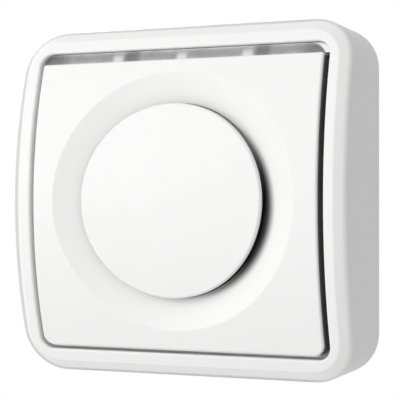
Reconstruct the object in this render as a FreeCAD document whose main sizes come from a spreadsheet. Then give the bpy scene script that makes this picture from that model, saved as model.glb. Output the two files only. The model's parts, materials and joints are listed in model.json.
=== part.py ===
import FreeCAD, Part
import math
import os
import re

import Sketcher
from FreeCAD import Placement, Rotation, Vector

# Indoor siren for a wall: a square white case with a bulging front, a dished panel with a
# round disc over the sound outlet, and a light window in the slot above the panel.
# It hangs on a wall bracket by four hooks and runs on four cylindrical cells.
#
# Millimetres. X is to the right as seen from the front, Z is up and the front faces -Y.
# The wall is the plane Y = 0, and the origin is the centre of the bracket's back face.
# A "depth" below is the distance from the wall, so it is -Y.

SIZES = {
    # The whole case
    "case_width": 142.0,
    "case_height": 140.0,
    "case_depth": 50.0,
    "front_rise": 14.3,
    "corner_radius": 17.0,
    "case_wall": 2.4,
    "split_depth": 24.0,
    "wall_gap": 0.4,
    "clearance": 0.3,
    # The rim of the front case
    "rim_drop": 0.8,
    "rim_side": 8.7,
    "rim_ends": 9.35,
    "facet_width": 4.8,
    "facet_fall": 2.45,
    "facet_edge_radius": 3.4,
    "lip_radius": 0.8,
    "collar_wall": 2.2,
    "opening_corner": 5.5,
    "ledge_depth": 8.0,
    "ledge_wall": 2.0,
    "ledge_reach": 5.6,
    "lap_wall": 1.0,
    "lap_height": 1.4,
    "lap_fit": 0.15,
    # The front panel and its dish
    "panel_gap": 2.2,
    "panel_foot_gap": 1.8,
    "slot_height": 4.7,
    "panel_corner": 4.4,
    "panel_top_corner": 0.8,
    "panel_edge_radius": 0.8,
    "panel_wall": 2.2,
    "skirt_wall": 2.0,
    "dish_radius": 51.1,
    "dish_edge_radius": 1.2,
    "mouth_radius": 38.5,
    "mouth_fall": 5.0,
    "mouth_sink": 12.8,
    "mouth_land": 4.0,
    "clip_width": 8.0,
    "clip_wall": 1.6,
    "clip_barb": 0.8,
    "clip_height": 30.0,
    "seal_wall": 0.5,
    "seal_sink": 1.8,
    # The disc and its posts
    "disc_radius": 38.2,
    "disc_proud": 0.3,
    "disc_wall": 2.2,
    "disc_edge": 0.6,
    "post_ring": 30.0,
    "post_radius": 2.6,
    "post_boss_radius": 3.6,
    "post_boss_rise": 1.2,
    # The sounder behind the mouth
    "gasket_wall": 0.8,
    "horn_inset": 0.4,
    "horn_wall": 1.8,
    "sounder_room": 2.2,
    "throat_radius": 7.0,
    "driver_radius": 23.2,
    "driver_wall": 2.0,
    "driver_step": 1.8,
    "seat_radius": 18.0,
    "seat_width": 1.2,
    "seat_height": 1.0,
    "piezo_radius": 20.0,
    "piezo_wall": 0.3,
    "ceramic_radius": 14.0,
    "ceramic_wall": 0.25,
    "driver_cover_height": 3.2,
    "driver_cover_wall": 1.6,
    "driver_cover_step": 1.0,
    "cover_screw_length": 4.6,
    "lead_hole": 1.2,
    "lug_ring": 25.4,
    "lug_radius": 3.0,
    "flange_lug_ring": 45.4,
    "flange_lug_radius": 3.6,
    "flange_screw_length": 5.6,
    "flange_pilot": 3.6,
    "boss_rise": 7.0,
    "post_sink": 3.8,
    "disc_screw_length": 9.0,
    # The light behind the slot
    "lens_sink": 3.6,
    "lens_fit": 0.25,
    "light_pitch": 28.0,
    "guide_width": 4.0,
    "guide_height": 2.8,
    "guide_room": 3.2,
    "reflector_height": 7.0,
    "reflector_length": 98.0,
    "cup_radius": 3.0,
    "cup_depth": 9.0,
    "light_sink": 26.6,
    "strobe_board_wall": 1.6,
    "led_side": 3.5,
    "led_height": 1.2,
    "led_dome": 1.15,
    "strobe_screw_span": 90.0,
    "strobe_screw_length": 6.4,
    # The rear case
    "back_edge": 1.0,
    "seam_sink": 0.35,
    "back_sink": 4.8,
    "back_wall": 2.2,
    "back_land": 3.6,
    "bay_room": 5.9,
    "case_boss_z": 56.5,
    "case_boss_radius": 3.6,
    "case_screw_seat": 17.0,
    "case_screw_length": 13.0,
    # Screws
    "screw_radius": 1.5,
    "screw_head_radius": 2.7,
    "screw_head_height": 1.9,
    "screw_pilot": 1.3,
    "screw_hole": 1.7,
    "small_screw_radius": 1.1,
    "small_head_radius": 2.1,
    "small_head_height": 1.4,
    "small_pilot": 0.95,
    "small_hole": 1.3,
    "cross_width": 0.7,
    "cross_sink": 0.8,
    # The battery bay
    "cell_radius": 7.25,
    "cell_length": 50.5,
    "cell_nub_radius": 2.7,
    "cell_nub_height": 1.2,
    "cell_gap": 0.4,
    "contact_space": 2.6,
    "contact_wall": 0.4,
    "contact_fit": 0.05,
    "contact_reach": 5.0,
    "contact_width": 7.0,
    "bay_inset": 22.0,
    "bay_wall": 1.5,
    "cover_rest": 1.2,
    "cover_fit": 0.2,
    "cover_tab_x": 20.0,
    "cover_tab_width": 5.6,
    "cover_tab_reach": 6.6,
    "cover_boss_radius": 4.2,
    "lid_screw_length": 5.4,
    "grip_pitch": 4.0,
    "grip_width": 1.6,
    "grip_height": 12.0,
    "grip_sink": 0.7,
    # The main board and what stands on it
    "board_depth": 12.0,
    "board_wall": 1.6,
    "board_half": 55.0,
    "board_top": 58.0,
    "board_bottom": 29.5,
    "standoff_radius": 3.0,
    "standoff_x": 50.0,
    "standoff_top": 52.0,
    "standoff_bottom": 24.0,
    "board_screw_length": 5.4,
    "shield_x": -32.0,
    "shield_z": 42.0,
    "shield_wall": 0.3,
    "shield_length": 26.0,
    "shield_width": 18.0,
    "shield_height": 2.6,
    "chip_x": -42.0,
    "chip_z": 6.0,
    "chip_side": 10.0,
    "chip_height": 1.4,
    "coil_x": 41.0,
    "coil_z": -13.0,
    "coil_radius": 6.0,
    "coil_height": 9.0,
    "coil_rim": 1.2,
    "coil_waist": 4.8,
    "capacitor_radius": 5.0,
    "capacitor_length": 20.0,
    "capacitor_z": 48.0,
    "aerial_x": 34.0,
    "aerial_z": 28.0,
    "aerial_radius": 2.4,
    "aerial_wire": 0.5,
    "aerial_turns": 7.0,
    "aerial_length": 22.4,
    # The wall bracket, the hooks and the travel they allow
    "bracket_width": 100.0,
    "bracket_height": 96.0,
    "bracket_rise": 2.0,
    "bracket_wall": 2.0,
    "bracket_corner": 6.0,
    "bracket_edge_wall": 1.6,
    "bracket_edge_height": 2.0,
    "wall_hole_across": 60.0,
    "wall_hole_span": 80.0,
    "wall_hole_radius": 2.25,
    "window_wide": 20.0,
    "window_high": 36.0,
    "lower_window": 40.0,
    "lower_window_high": 14.0,
    "lift_travel": 7.0,
    "hook_x": 42.0,
    "hook_upper": 38.0,
    "hook_lower": 20.6,
    "hook_width": 8.0,
    "hook_stem": 2.4,
    "hook_lip": 4.5,
    "hook_lip_wall": 1.8,
    "hook_play": 0.2,
    # The tamper plunger and the pairing button
    "tamper_x": 36.0,
    "tamper_z": 12.0,
    "tamper_travel": 2.0,
    "tamper_radius": 2.0,
    "tamper_collar": 3.4,
    "tamper_collar_wall": 0.8,
    "tamper_pad_rise": 2.0,
    "tamper_pad_width": 8.0,
    "ramp_land": 4.0,
    "tip_chamfer": 0.5,
    "stem_radius": 1.2,
    "tamper_spring_radius": 2.6,
    "tamper_spring_wire": 0.2,
    "tamper_spring_turns": 3.0,
    "spring_play": 0.2,
    "tamper_body": 6.0,
    "tamper_height": 6.0,
    "lever_depth": 17.2,
    "lever_wall": 0.4,
    "button_x": 24.0,
    "button_z": 14.0,
    "button_radius": 2.8,
    "button_flange": 3.8,
    "button_travel": 0.5,
    "running_fit": 0.15,
    "switch_side": 6.0,
    "switch_height": 2.6,
    "switch_nub_radius": 1.5,
    "switch_nub_height": 0.8,
}

# Sizes that follow from the ones above. A surface "offset" is measured square to the bulging
# front, from the front of the panel towards the wall.
WORKED_OUT = {
    "bulge_radius": "(case_height ^ 2 / 4 + front_rise ^ 2) / (2 * front_rise)",
    "half_width": "case_width / 2",
    "half_height": "case_height / 2",
    "opening_half": "half_width - rim_side",
    "opening_top": "half_height - rim_ends",
    "window_half": "opening_half - ledge_reach",
    "window_top": "opening_top - ledge_reach - slot_height",
    "window_bottom": "opening_top - ledge_reach",
    "ledge_back": "ledge_depth + ledge_wall",
    "panel_half": "opening_half - panel_gap",
    "panel_top": "opening_top - slot_height",
    "panel_bottom": "opening_top - panel_foot_gap",
    "slot_middle": "opening_top - slot_height / 2",
    "mouth_back": "case_depth - mouth_sink",
    "land_radius": "mouth_radius + mouth_land",
    "post_boss_depth": "mouth_back + post_boss_rise",
    "strobe_board_depth": "case_depth - light_sink",
    "strobe_board_front": "strobe_board_depth + strobe_board_wall",
    "guide_depth": "strobe_board_front + guide_room",
    "horn_front": "mouth_back - gasket_wall",
    "horn_mouth": "mouth_radius - horn_inset",
    "board_front": "board_depth + board_wall",
    "driver_cover_back": "board_front + sounder_room",
    "driver_back": "driver_cover_back + driver_cover_height",
    "throat_back": "driver_back + driver_step",
    "throat_front": "throat_back + horn_wall",
    "horn_length": "horn_front - throat_front",
    "flare_radius": "((horn_mouth - throat_radius) ^ 2 + horn_length ^ 2) / (2 * horn_length)",
    "flare_foot": "horn_mouth - sqrt((flare_radius - horn_wall) ^ 2 - (flare_radius - horn_length) ^ 2)",
    "piezo_front": "throat_back - seat_height",
    "piezo_back": "piezo_front - piezo_wall",
    "driver_cover_floor": "driver_cover_back + driver_cover_wall",
    "driver_cover_seat": "driver_cover_back + driver_cover_step",
    "gasket_radius": "flange_lug_ring - flange_lug_radius - clearance",
    "post_seat": "horn_front - post_sink",
    "inner_half": "half_width - case_wall",
    "inner_top": "half_height - case_wall",
    "inner_corner": "corner_radius - case_wall",
    "back_inside": "back_sink + back_wall",
    "recess_half": "half_width - back_land",
    "recess_top": "half_height - back_land",
    "bay_half": "cell_length + contact_space",
    "case_boss_x": "bay_half + bay_wall + bay_room",
    "bay_centre": "half_height - bay_inset",
    "bay_height": "4 * cell_radius + 3 * cell_gap",
    "bay_low": "bay_centre + bay_height / 2",
    "bay_high": "bay_centre - bay_height / 2",
    "cell_pitch": "2 * cell_radius + cell_gap",
    "cell_depth": "back_inside + cell_gap + cell_radius",
    "bay_floor": "back_inside + 2 * cell_gap + 2 * cell_radius",
    "bracket_low": "bracket_height / 2 - bracket_rise",
    "bracket_high": "bracket_height / 2 + bracket_rise",
    "tamper_pad": "bracket_wall + tamper_pad_rise",
    "tamper_tip": "tamper_pad + clearance",
    "tamper_collar_back": "back_inside + tamper_travel + clearance / 2",
    "tamper_collar_front": "tamper_collar_back + tamper_collar_wall",
    "button_back": "back_sink + running_fit",
    "button_flange_back": "back_inside + running_fit",
    "switch_top": "board_depth - switch_height",
    "switch_nub_top": "switch_top - switch_nub_height",
    "button_front": "switch_nub_top - button_travel - clearance / 3",
}

doc = FreeCAD.newDocument("IndoorSiren")
sheet = doc.addObject("Spreadsheet::Sheet", "Sizes")
ROWS = [(alias, str(number)) for alias, number in SIZES.items()]
ROWS += [(alias, "=" + formula) for alias, formula in WORKED_OUT.items()]
for row, (alias, content) in enumerate(ROWS, start=1):
    sheet.set(f"A{row}", alias.replace("_", " "))
    sheet.set(f"B{row}", content)
    sheet.setAlias(f"B{row}", alias)
doc.recompute()
ALIASES = {alias for alias, content in ROWS}

FACING = Rotation(Vector(1, 0, 0), 90)
ALONG_X = Rotation(Vector(0, 1, 0), 90)
NEAR = 1e-6


def bound(formula):
    """The formula with each alias written as a reference to the sheet."""

    def reference(word):
        return "Sizes." + word.group(0) if word.group(0) in ALIASES else word.group(0)

    return re.sub(r"[a-z][a-z_]*", reference, str(formula))


def mm(formula):
    """The value of a formula at the sheet's present sizes."""
    return float(sheet.evalExpression(str(formula)))


def front_at(offset, height):
    """Formula for the Y of the bulging surface, offset towards the wall, at a height."""
    reach = f"sqrt((bulge_radius - ({offset})) ^ 2 - ({height}) ^ 2)"
    return f"(bulge_radius - case_depth - {reach})"


# Sketches

def new_body(name):
    body = doc.addObject("PartDesign::Body", name)
    body.Label = name
    return body


def sketch_on(body, role, offset="0"):
    """A sketch on one of the body's own planes, moved along the plane's normal."""
    sketch = body.newObject("Sketcher::SketchObject", body.Name + "_sketch")
    plane = next(f for f in body.Origin.OriginFeatures if f.Role == role)
    sketch.AttachmentSupport = (plane, [""])
    sketch.MapMode = "FlatFace"
    sketch.setExpression("AttachmentOffset.Base.z", bound(offset))
    return sketch


def pin(sketch, piece, point, across, up):
    """Hold one point of the sketch at two formulas, measured from the sketch's origin."""
    for kind, axis, formula in (("DistanceX", -2, across), ("DistanceY", -1, up)):
        if abs(mm(formula)) < NEAR:
            sketch.addConstraint(Sketcher.Constraint("PointOnObject", piece, point, axis))
            continue
        held = Sketcher.Constraint(kind, -1, 1, piece, point, mm(formula))
        number = sketch.addConstraint(held)
        sketch.setExpression(f"Constraints[{number}]", bound(formula))


def arc_between(start, end, radius):
    """An arc from start to end. A positive radius puts its centre on the left of the way."""
    chord = end - start
    left = Vector(-chord.y, chord.x, 0).normalize()
    reach = math.sqrt(radius ** 2 - (chord.Length / 2) ** 2)
    centre = (start + end) * 0.5 + left * math.copysign(reach, radius)
    first, last = (start, end) if radius > 0 else (end, start)
    angles = [math.atan2(p.y - centre.y, p.x - centre.x) for p in (first, last)]
    return Part.ArcOfCircle(Part.Circle(centre, Vector(0, 0, 1), abs(radius)), *angles)


def outline(sketch, corners):
    """A closed outline through corners (across, up) or (across, up, radius of the next arc)."""
    base = sketch.GeometryCount
    points = [Vector(mm(c[0]), mm(c[1]), 0) for c in corners]
    ends = []
    for number, corner in enumerate(corners):
        start, end = points[number], points[(number + 1) % len(points)]
        radius = mm(corner[2]) if len(corner) > 2 else 0
        shape = arc_between(start, end, radius) if radius else Part.LineSegment(start, end)
        piece = sketch.addGeometry(shape)
        ends.append((2, 1) if radius < 0 else (1, 2))
        if radius:
            held = Sketcher.Constraint("Radius", piece, abs(radius))
            limit = sketch.addConstraint(held)
            sketch.setExpression(f"Constraints[{limit}]", bound(f"abs({corner[2]})"))
    for number, corner in enumerate(corners):
        after = (number + 1) % len(corners)
        joined = (base + number, ends[number][1], base + after, ends[after][0])
        sketch.addConstraint(Sketcher.Constraint("Coincident", *joined))
        pin(sketch, base + number, ends[number][0], corner[0], corner[1])


def rectangle(sketch, left, right, low, high):
    outline(sketch, [(left, low), (right, low), (right, high), (left, high)])


def circle(sketch, radius, across="0", up="0"):
    centre = Vector(mm(across), mm(up), 0)
    piece = sketch.addGeometry(Part.Circle(centre, Vector(0, 0, 1), mm(radius)))
    number = sketch.addConstraint(Sketcher.Constraint("Radius", piece, mm(radius)))
    sketch.setExpression(f"Constraints[{number}]", bound(radius))
    pin(sketch, piece, 3, across, up)


# Features of a body

def pad(body, sketch, length, symmetric=False, backwards=False):
    """Material from the sketch. On a front view it grows away from the wall."""
    feature = body.newObject("PartDesign::Pad", body.Name + "_pad")
    feature.Profile = sketch
    feature.SideType = "Symmetric" if symmetric else "One side"
    feature.Reversed = backwards
    feature.setExpression("Length", bound(length))
    doc.recompute()
    return feature


def pocket(body, sketch, length, forwards=False):
    """A cut from the sketch. On a front view it runs towards the wall, or forwards from it."""
    before = body.Shape.Volume
    feature = body.newObject("PartDesign::Pocket", body.Name + "_pocket")
    feature.Profile = sketch
    feature.Reversed = forwards
    feature.setExpression("Length", bound(length))
    doc.recompute()
    if not feature.Shape.Volume < before - NEAR:
        raise RuntimeError(f"{feature.Label} cuts nothing")
    return feature


def turned(name, corners, plane="XY_Plane"):
    """A body turned about the depth axis from corners (radius, depth)."""
    body = new_body(name)
    sketch = sketch_on(body, plane)
    outline(sketch, [(c[0], f"-({c[1]})", *c[2:]) for c in corners])
    feature = body.newObject("PartDesign::Revolution", name + "_turn")
    feature.Profile = sketch
    feature.ReferenceAxis = (sketch, ["V_Axis"])
    feature.Angle = 360
    doc.recompute()
    return body


def round_edges(body, feature, test, radius):
    names = [f"Edge{n}" for n, edge in enumerate(feature.Shape.Edges, 1) if test(edge)]
    result = body.newObject("PartDesign::Fillet", body.Name + "_fillet")
    result.Base = (feature, names)
    result.setExpression("Radius", bound(radius))
    doc.recompute()
    return result


def runs_in_depth(edge):
    return isinstance(edge.Curve, Part.Line) and abs(edge.Curve.Direction.y) > 0.999


def corner_test(low_only=False, high_only=False):
    """Edges that run in depth, all of them or only those below or above the middle."""

    def test(edge):
        height = edge.BoundBox.Center.z
        wanted = not (low_only and height > 0) and not (high_only and height < 0)
        return runs_in_depth(edge) and wanted

    return test


def bulged(name, front, half, low, high, back=None, flat_back=None, corners=()):
    """A block under the bulging front, with a flat or a concentric back and rounded corners.

    corners holds pairs of an edge test and a radius, rounded in turn.
    """
    body = new_body(name)
    sketch = sketch_on(body, "YZ_Plane")
    rise = [(front_at(front, high), high, f"bulge_radius - ({front})"), (front_at(front, low), low)]
    if flat_back is None:
        rise.append((front_at(back, low), low, f"-(bulge_radius - ({back}))"))
        rise.append((front_at(back, high), high))
    else:
        rise += [(f"-({flat_back})", low), (f"-({flat_back})", high)]
    outline(sketch, rise)
    feature = pad(body, sketch, f"2 * ({half})", symmetric=True)
    for test, radius in corners:
        feature = round_edges(body, feature, test, radius)
    return body


# Plain solids and what joins them

def rod(name, radius, start, end, across="0", up="0"):
    """A round solid between two depths."""
    solid = doc.addObject("Part::Cylinder", name)
    solid.Placement = Placement(Vector(), FACING)
    solid.setExpression("Radius", bound(radius))
    solid.setExpression("Height", bound(f"({end}) - ({start})"))
    solid.setExpression("Placement.Base.x", bound(across))
    solid.setExpression("Placement.Base.y", bound(f"-({start})"))
    solid.setExpression("Placement.Base.z", bound(up))
    return solid


def taper(name, near_radius, far_radius, start, end, across="0", up="0"):
    """A cone between two depths."""
    solid = doc.addObject("Part::Cone", name)
    solid.Placement = Placement(Vector(), FACING)
    solid.setExpression("Radius1", bound(near_radius))
    solid.setExpression("Radius2", bound(far_radius))
    solid.setExpression("Height", bound(f"({end}) - ({start})"))
    solid.setExpression("Placement.Base.x", bound(across))
    solid.setExpression("Placement.Base.y", bound(f"-({start})"))
    solid.setExpression("Placement.Base.z", bound(up))
    return solid


def block(name, left, right, start, end, low, high):
    """A box between two depths."""
    solid = doc.addObject("Part::Box", name)
    solid.setExpression("Length", bound(f"({right}) - ({left})"))
    solid.setExpression("Width", bound(f"({end}) - ({start})"))
    solid.setExpression("Height", bound(f"({high}) - ({low})"))
    solid.setExpression("Placement.Base.x", bound(left))
    solid.setExpression("Placement.Base.y", bound(f"-({end})"))
    solid.setExpression("Placement.Base.z", bound(low))
    return solid


def fused(name, solids):
    result = doc.addObject("Part::MultiFuse", name)
    result.Shapes = solids
    result.Refine = True
    doc.recompute()
    return result


def without(name, base, tools):
    """The base less one tool or a list of tools."""
    tool = tools[0] if len(tools) == 1 else fused(name + "_tools", tools)
    result = doc.addObject("Part::Cut", name)
    result.Base, result.Tool = base, tool
    result.Refine = True
    doc.recompute()
    return result


def shared(name, first, second):
    result = doc.addObject("Part::Common", name)
    result.Base, result.Tool = first, second
    result.Refine = True
    doc.recompute()
    return result


def together(name, solids):
    """Separate solids kept as one piece of the assembly, such as a set of screws."""
    result = doc.addObject("Part::Compound", name)
    result.Links = solids
    doc.recompute()
    return result


def softened(name, base, test, size, bevel=False):
    """The base with the tested edges rounded, or bevelled."""
    numbers = [n for n, edge in enumerate(base.Shape.Edges, 1) if test(edge)]
    result = doc.addObject("Part::Chamfer" if bevel else "Part::Fillet", name)
    result.Base = base
    result.Edges = [(n, mm(size), mm(size)) for n in numbers]
    doc.recompute()
    return result


def four_ways(across, up):
    """The four corners of a rectangle about the middle, as formulas."""
    return [(f"{i} * ({across})", f"{k} * ({up})") for i in (-1, 1) for k in (-1, 1)]


def round_ring(radius, count, first=0.0):
    """Places evenly spaced on a circle, as formulas."""
    turns = [math.radians(first + 360.0 * n / count) for n in range(count)]
    return [(f"({radius}) * {math.cos(a):.9f}", f"({radius}) * {math.sin(a):.9f}") for a in turns]


def screw(name, across, up, seat, length, small=False, forwards=True):
    """A pan-head screw. Its head rests at the seat's depth and its shank runs from there."""
    kind = "small" if small else "screw"
    head, height = f"{kind}_head_radius", f"{kind}_head_height"
    shank = "small_screw_radius" if small else "screw_radius"
    if forwards:
        pieces = [(head, f"({seat}) - {height}", seat), (shank, seat, f"({seat}) + ({length})")]
        cross = (f"({seat}) - {height} - 1", f"({seat}) - {height} + cross_sink")
    else:
        pieces = [(head, seat, f"({seat}) + {height}"), (shank, f"({seat}) - ({length})", seat)]
        cross = (f"({seat}) + {height} - cross_sink", f"({seat}) + {height} + 1")
    solids = [rod(name + "_round", r, a, b, across, up) for r, a, b in pieces]
    arm, half = f"{head} * 0.62", "cross_width / 2"
    bars = []
    for wide, high in ((arm, half), (half, arm)):
        sides = (f"({across}) - {wide}", f"({across}) + {wide}")
        ends = (f"({up}) - {high}", f"({up}) + {high}")
        bars.append(block(name + "_bar", *sides, *cross, *ends))
    return without(name, fused(name + "_blank", solids), bars)


PIECES = []


def finish(piece, label):
    piece.Label = label
    PIECES.append(piece)
    return piece


def rounded(sketch, left, right, low, high, radius):
    """A rectangle with rounded corners."""
    r = f"({radius})"
    outline(sketch, [
        (f"({left}) + {r}", low), (f"({right}) - {r}", low, r),
        (right, f"({low}) + {r}"), (right, f"({high}) - {r}", r),
        (f"({right}) - {r}", high), (f"({left}) + {r}", high, r),
        (left, f"({high}) - {r}"), (left, f"({low}) + {r}", r),
    ])


def plate(name, start, end, left, right, low, high, radius):
    """A flat body with rounded corners between two depths."""
    body = new_body(name)
    sketch = sketch_on(body, "XZ_Plane", start)
    rounded(sketch, left, right, low, high, radius)
    pad(body, sketch, f"({end}) - ({start})")
    return body


def holes(body, places, radius, start, end, forwards=False):
    """Round holes of one size from a depth, towards the wall or forwards from it."""
    sketch = sketch_on(body, "XZ_Plane", start)
    for across, up in places:
        circle(sketch, radius, across, up)
    return pocket(body, sketch, f"abs(({end}) - ({start}))", forwards)


def posts(body, places, radius, start, end):
    """Round posts of one size that grow forwards from a depth."""
    sketch = sketch_on(body, "XZ_Plane", start)
    for across, up in places:
        circle(sketch, radius, across, up)
    return pad(body, sketch, f"({end}) - ({start})")


def side_profile(name, corners, across, width):
    """A body cut from corners (depth, up) and centred across the front at one place."""
    body = new_body(name)
    sketch = sketch_on(body, "YZ_Plane", f"({across}) - ({width}) / 2")
    outline(sketch, [(f"-({c[0]})", *c[1:]) for c in corners])
    pad(body, sketch, width)
    return body


def on_bulge(point, offset):
    """True where a point lies on the bulging surface at the offset."""
    reach = math.hypot(point.y - mm("bulge_radius - case_depth"), point.z)
    return abs(reach - mm(f"bulge_radius - ({offset})")) < 1e-4


def along(edge, count=5):
    """Points spread along an edge, its ends included."""
    step = (edge.LastParameter - edge.FirstParameter) / (count - 1)
    return [edge.valueAt(edge.FirstParameter + step * n) for n in range(count)]


# The front case: a rim round the panel, a collar behind it and the ledge that the panel rests on

def faceted(name, drop, flat_back, half, top, corner, edge_radius=None):
    """Outer or inner form of the case: round corners and a sloping facet round the front."""
    body = bulged(name, drop, half, f"-({top})", top, flat_back=flat_back,
                  corners=[(runs_in_depth, corner)])
    base = body.Tip
    rim = [f"Edge{n}" for n, edge in enumerate(base.Shape.Edges, 1)
           if all(on_bulge(point, drop) for point in along(edge))]
    facet = body.newObject("PartDesign::Chamfer", name + "_facet")
    facet.Base = (base, rim)
    facet.ChamferType = "Two distances"
    facet.setExpression("Size", bound("facet_width"))
    facet.setExpression("Size2", bound("facet_fall"))
    doc.recompute()

    def below_facet(edge):
        ends = [vertex.Point for vertex in edge.Vertexes]
        on_front = any(on_bulge(point, drop) for point in ends)
        at_back = min(point.y for point in ends) > -mm(flat_back) - NEAR
        return not (on_front or at_back or runs_in_depth(edge))

    if edge_radius:
        round_edges(body, facet, below_facet, edge_radius)
    return body


CASE_CORNERS = four_ways("case_boss_x", "case_boss_z")
LIGHTS = [f"{n} * light_pitch" for n in (-1, 0, 1)]
STROBE_SCREWS = [f"{n} * strobe_screw_span / 2" for n in (-1, 1)]


def make_front_case():
    outside = faceted("front_outside", "rim_drop", "split_depth", "half_width", "half_height",
                      "corner_radius", "facet_edge_radius")
    inside = faceted("front_inside", "rim_drop + case_wall", "split_depth - 1", "inner_half",
                     "inner_top", "inner_corner")
    wide, high = "opening_half + collar_wall", "opening_top + collar_wall"
    collar = bulged("front_collar", "rim_drop + case_wall / 2", wide, f"-({high})", high,
                    back="ledge_back", corners=[(runs_in_depth, "opening_corner + collar_wall")])
    boss_limit = bulged("front_boss_limit", "ledge_depth + ledge_wall / 2", "half_width",
                        "-half_height", "half_height", flat_back="split_depth")
    bosses = [rod("front_boss", "case_boss_radius", "split_depth", "case_depth", x, z)
              for x, z in CASE_CORNERS]
    bosses = shared("front_bosses", fused("front_boss_set", bosses), boss_limit)
    solid = fused("front_solid", [without("front_shell", outside, [inside]), collar, bosses])
    opening = bulged("front_opening", "-3", "opening_half", "-opening_top", "opening_top",
                     back="ledge_depth", corners=[(runs_in_depth, "opening_corner")])
    window = block("front_window", "-window_half", "window_half", "split_depth - 1", "case_depth",
                   "-window_bottom", "window_top")
    relief = plate("front_relief", "0", "split_depth + lap_height + lap_fit",
                   "-(inner_half + lap_wall + lap_fit)", "inner_half + lap_wall + lap_fit",
                   "-(inner_top + lap_wall + lap_fit)", "inner_top + lap_wall + lap_fit",
                   "inner_corner + lap_wall + lap_fit")
    guides = [block("front_guide_hole", f"{x} - guide_width / 2 - lens_fit",
                    f"{x} + guide_width / 2 + lens_fit", "split_depth", "case_depth",
                    "slot_middle - guide_height / 2 - lens_fit",
                    "slot_middle + guide_height / 2 + lens_fit") for x in LIGHTS]
    case_pilots = [rod("front_pilot", "screw_pilot", "split_depth - 1",
                       "case_screw_seat + case_screw_length + clearance", x, z)
                   for x, z in CASE_CORNERS]
    light_pilots = [rod("light_pilot", "small_pilot", "split_depth",
                        "strobe_board_depth + strobe_screw_length + clearance", x, "slot_middle")
                    for x in STROBE_SCREWS]
    cut = without("front_cut", solid,
                  [opening, window, relief, *guides, *case_pilots, *light_pilots])

    def is_lip(edge):
        box = edge.BoundBox
        within = box.XMax < mm("opening_half") + NEAR and box.ZMax < mm("opening_top") + NEAR
        return within and all(on_bulge(point, "rim_drop") for point in along(edge))

    return finish(softened("front_case_body", cut, is_lip, "lip_radius"), "front_case")


# The front panel. Its dish is round, but it lies in the bulging front, so both the lip and the
# mouth are circles that bend with the bulge, and the slope is ruled from one to the other.

DISH_POINTS = 24
QUARTERS = [2 * math.pi * n / 4 for n in range(5)]


def ruled_dish(name, mouth, lip, back):
    """A bore from the back's depth to the mouth, then a slope that opens through the lip.

    The mouth and the lip are (radius, offset): circles on an offset of the bulging front.
    """
    far = mm("case_depth + 4")
    turns = [2 * math.pi * n / DISH_POINTS for n in range(DISH_POINTS)]
    small, large = mm(mouth[0]), mm(lip[0])

    def depths(radius, offset):
        reach, centre = mm(f"bulge_radius - ({offset})"), mm("bulge_radius - case_depth")
        return [math.sqrt(reach ** 2 - (radius * math.sin(turn)) ** 2) - centre for turn in turns]

    def ring(radii, levels):
        points = [Vector(radius * math.cos(turn), -level, radius * math.sin(turn))
                  for turn, radius, level in zip(turns, radii, levels)]
        curve = Part.BSplineCurve()
        curve.interpolate(Points=points, PeriodicFlag=True, Parameters=turns + [2 * math.pi])
        return Part.Wire([curve.toShape(*ends) for ends in zip(QUARTERS, QUARTERS[1:])])

    inner, outer = depths(small, mouth[1]), depths(large, lip[1])
    opened = [small + (large - small) * (far - start) / (end - start)
              for start, end in zip(inner, outer)]
    straight = [small] * DISH_POINTS
    rings = [ring(straight, [mm(back)] * DISH_POINTS), ring(straight, inner),
             ring(opened, [far] * DISH_POINTS)]
    solid = doc.addObject("Part::Feature", name)
    solid.Shape = Part.makeLoft(rings, True, True)
    return solid


FLANGE_LUGS = round_ring("flange_lug_ring", 4, first=45.0)
DISC_POSTS = round_ring("post_ring", 4, first=45.0)


def panel_clip(side, level):
    """A snap leg behind the panel, with a barb that catches under the ledge."""
    middle = f"{level} * clip_height"
    inner, outer = "window_half - clearance - clip_wall", "window_half - clearance"
    root = f"-{front_at('panel_wall / 4', 'clip_height + clip_width / 2')}"
    catch = f"-{front_at('ledge_back', 'clip_height + clip_width / 2')} - clearance / 2"
    body = new_body("panel_clip")
    sketch = sketch_on(body, "XY_Plane", f"({middle}) - clip_width / 2")
    corners = [(inner, root), (inner, f"{catch} - 2 * clip_wall"),
               (outer, f"{catch} - 2 * clip_wall"), (f"{outer} + clip_barb", f"{catch} - clip_barb"),
               (f"{outer} + clip_barb", catch), (outer, catch), (outer, root)]
    outline(sketch, [(f"{side} * ({x})", f"-({depth})") for x, depth in corners])
    pad(body, sketch, "clip_width")
    return body


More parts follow.
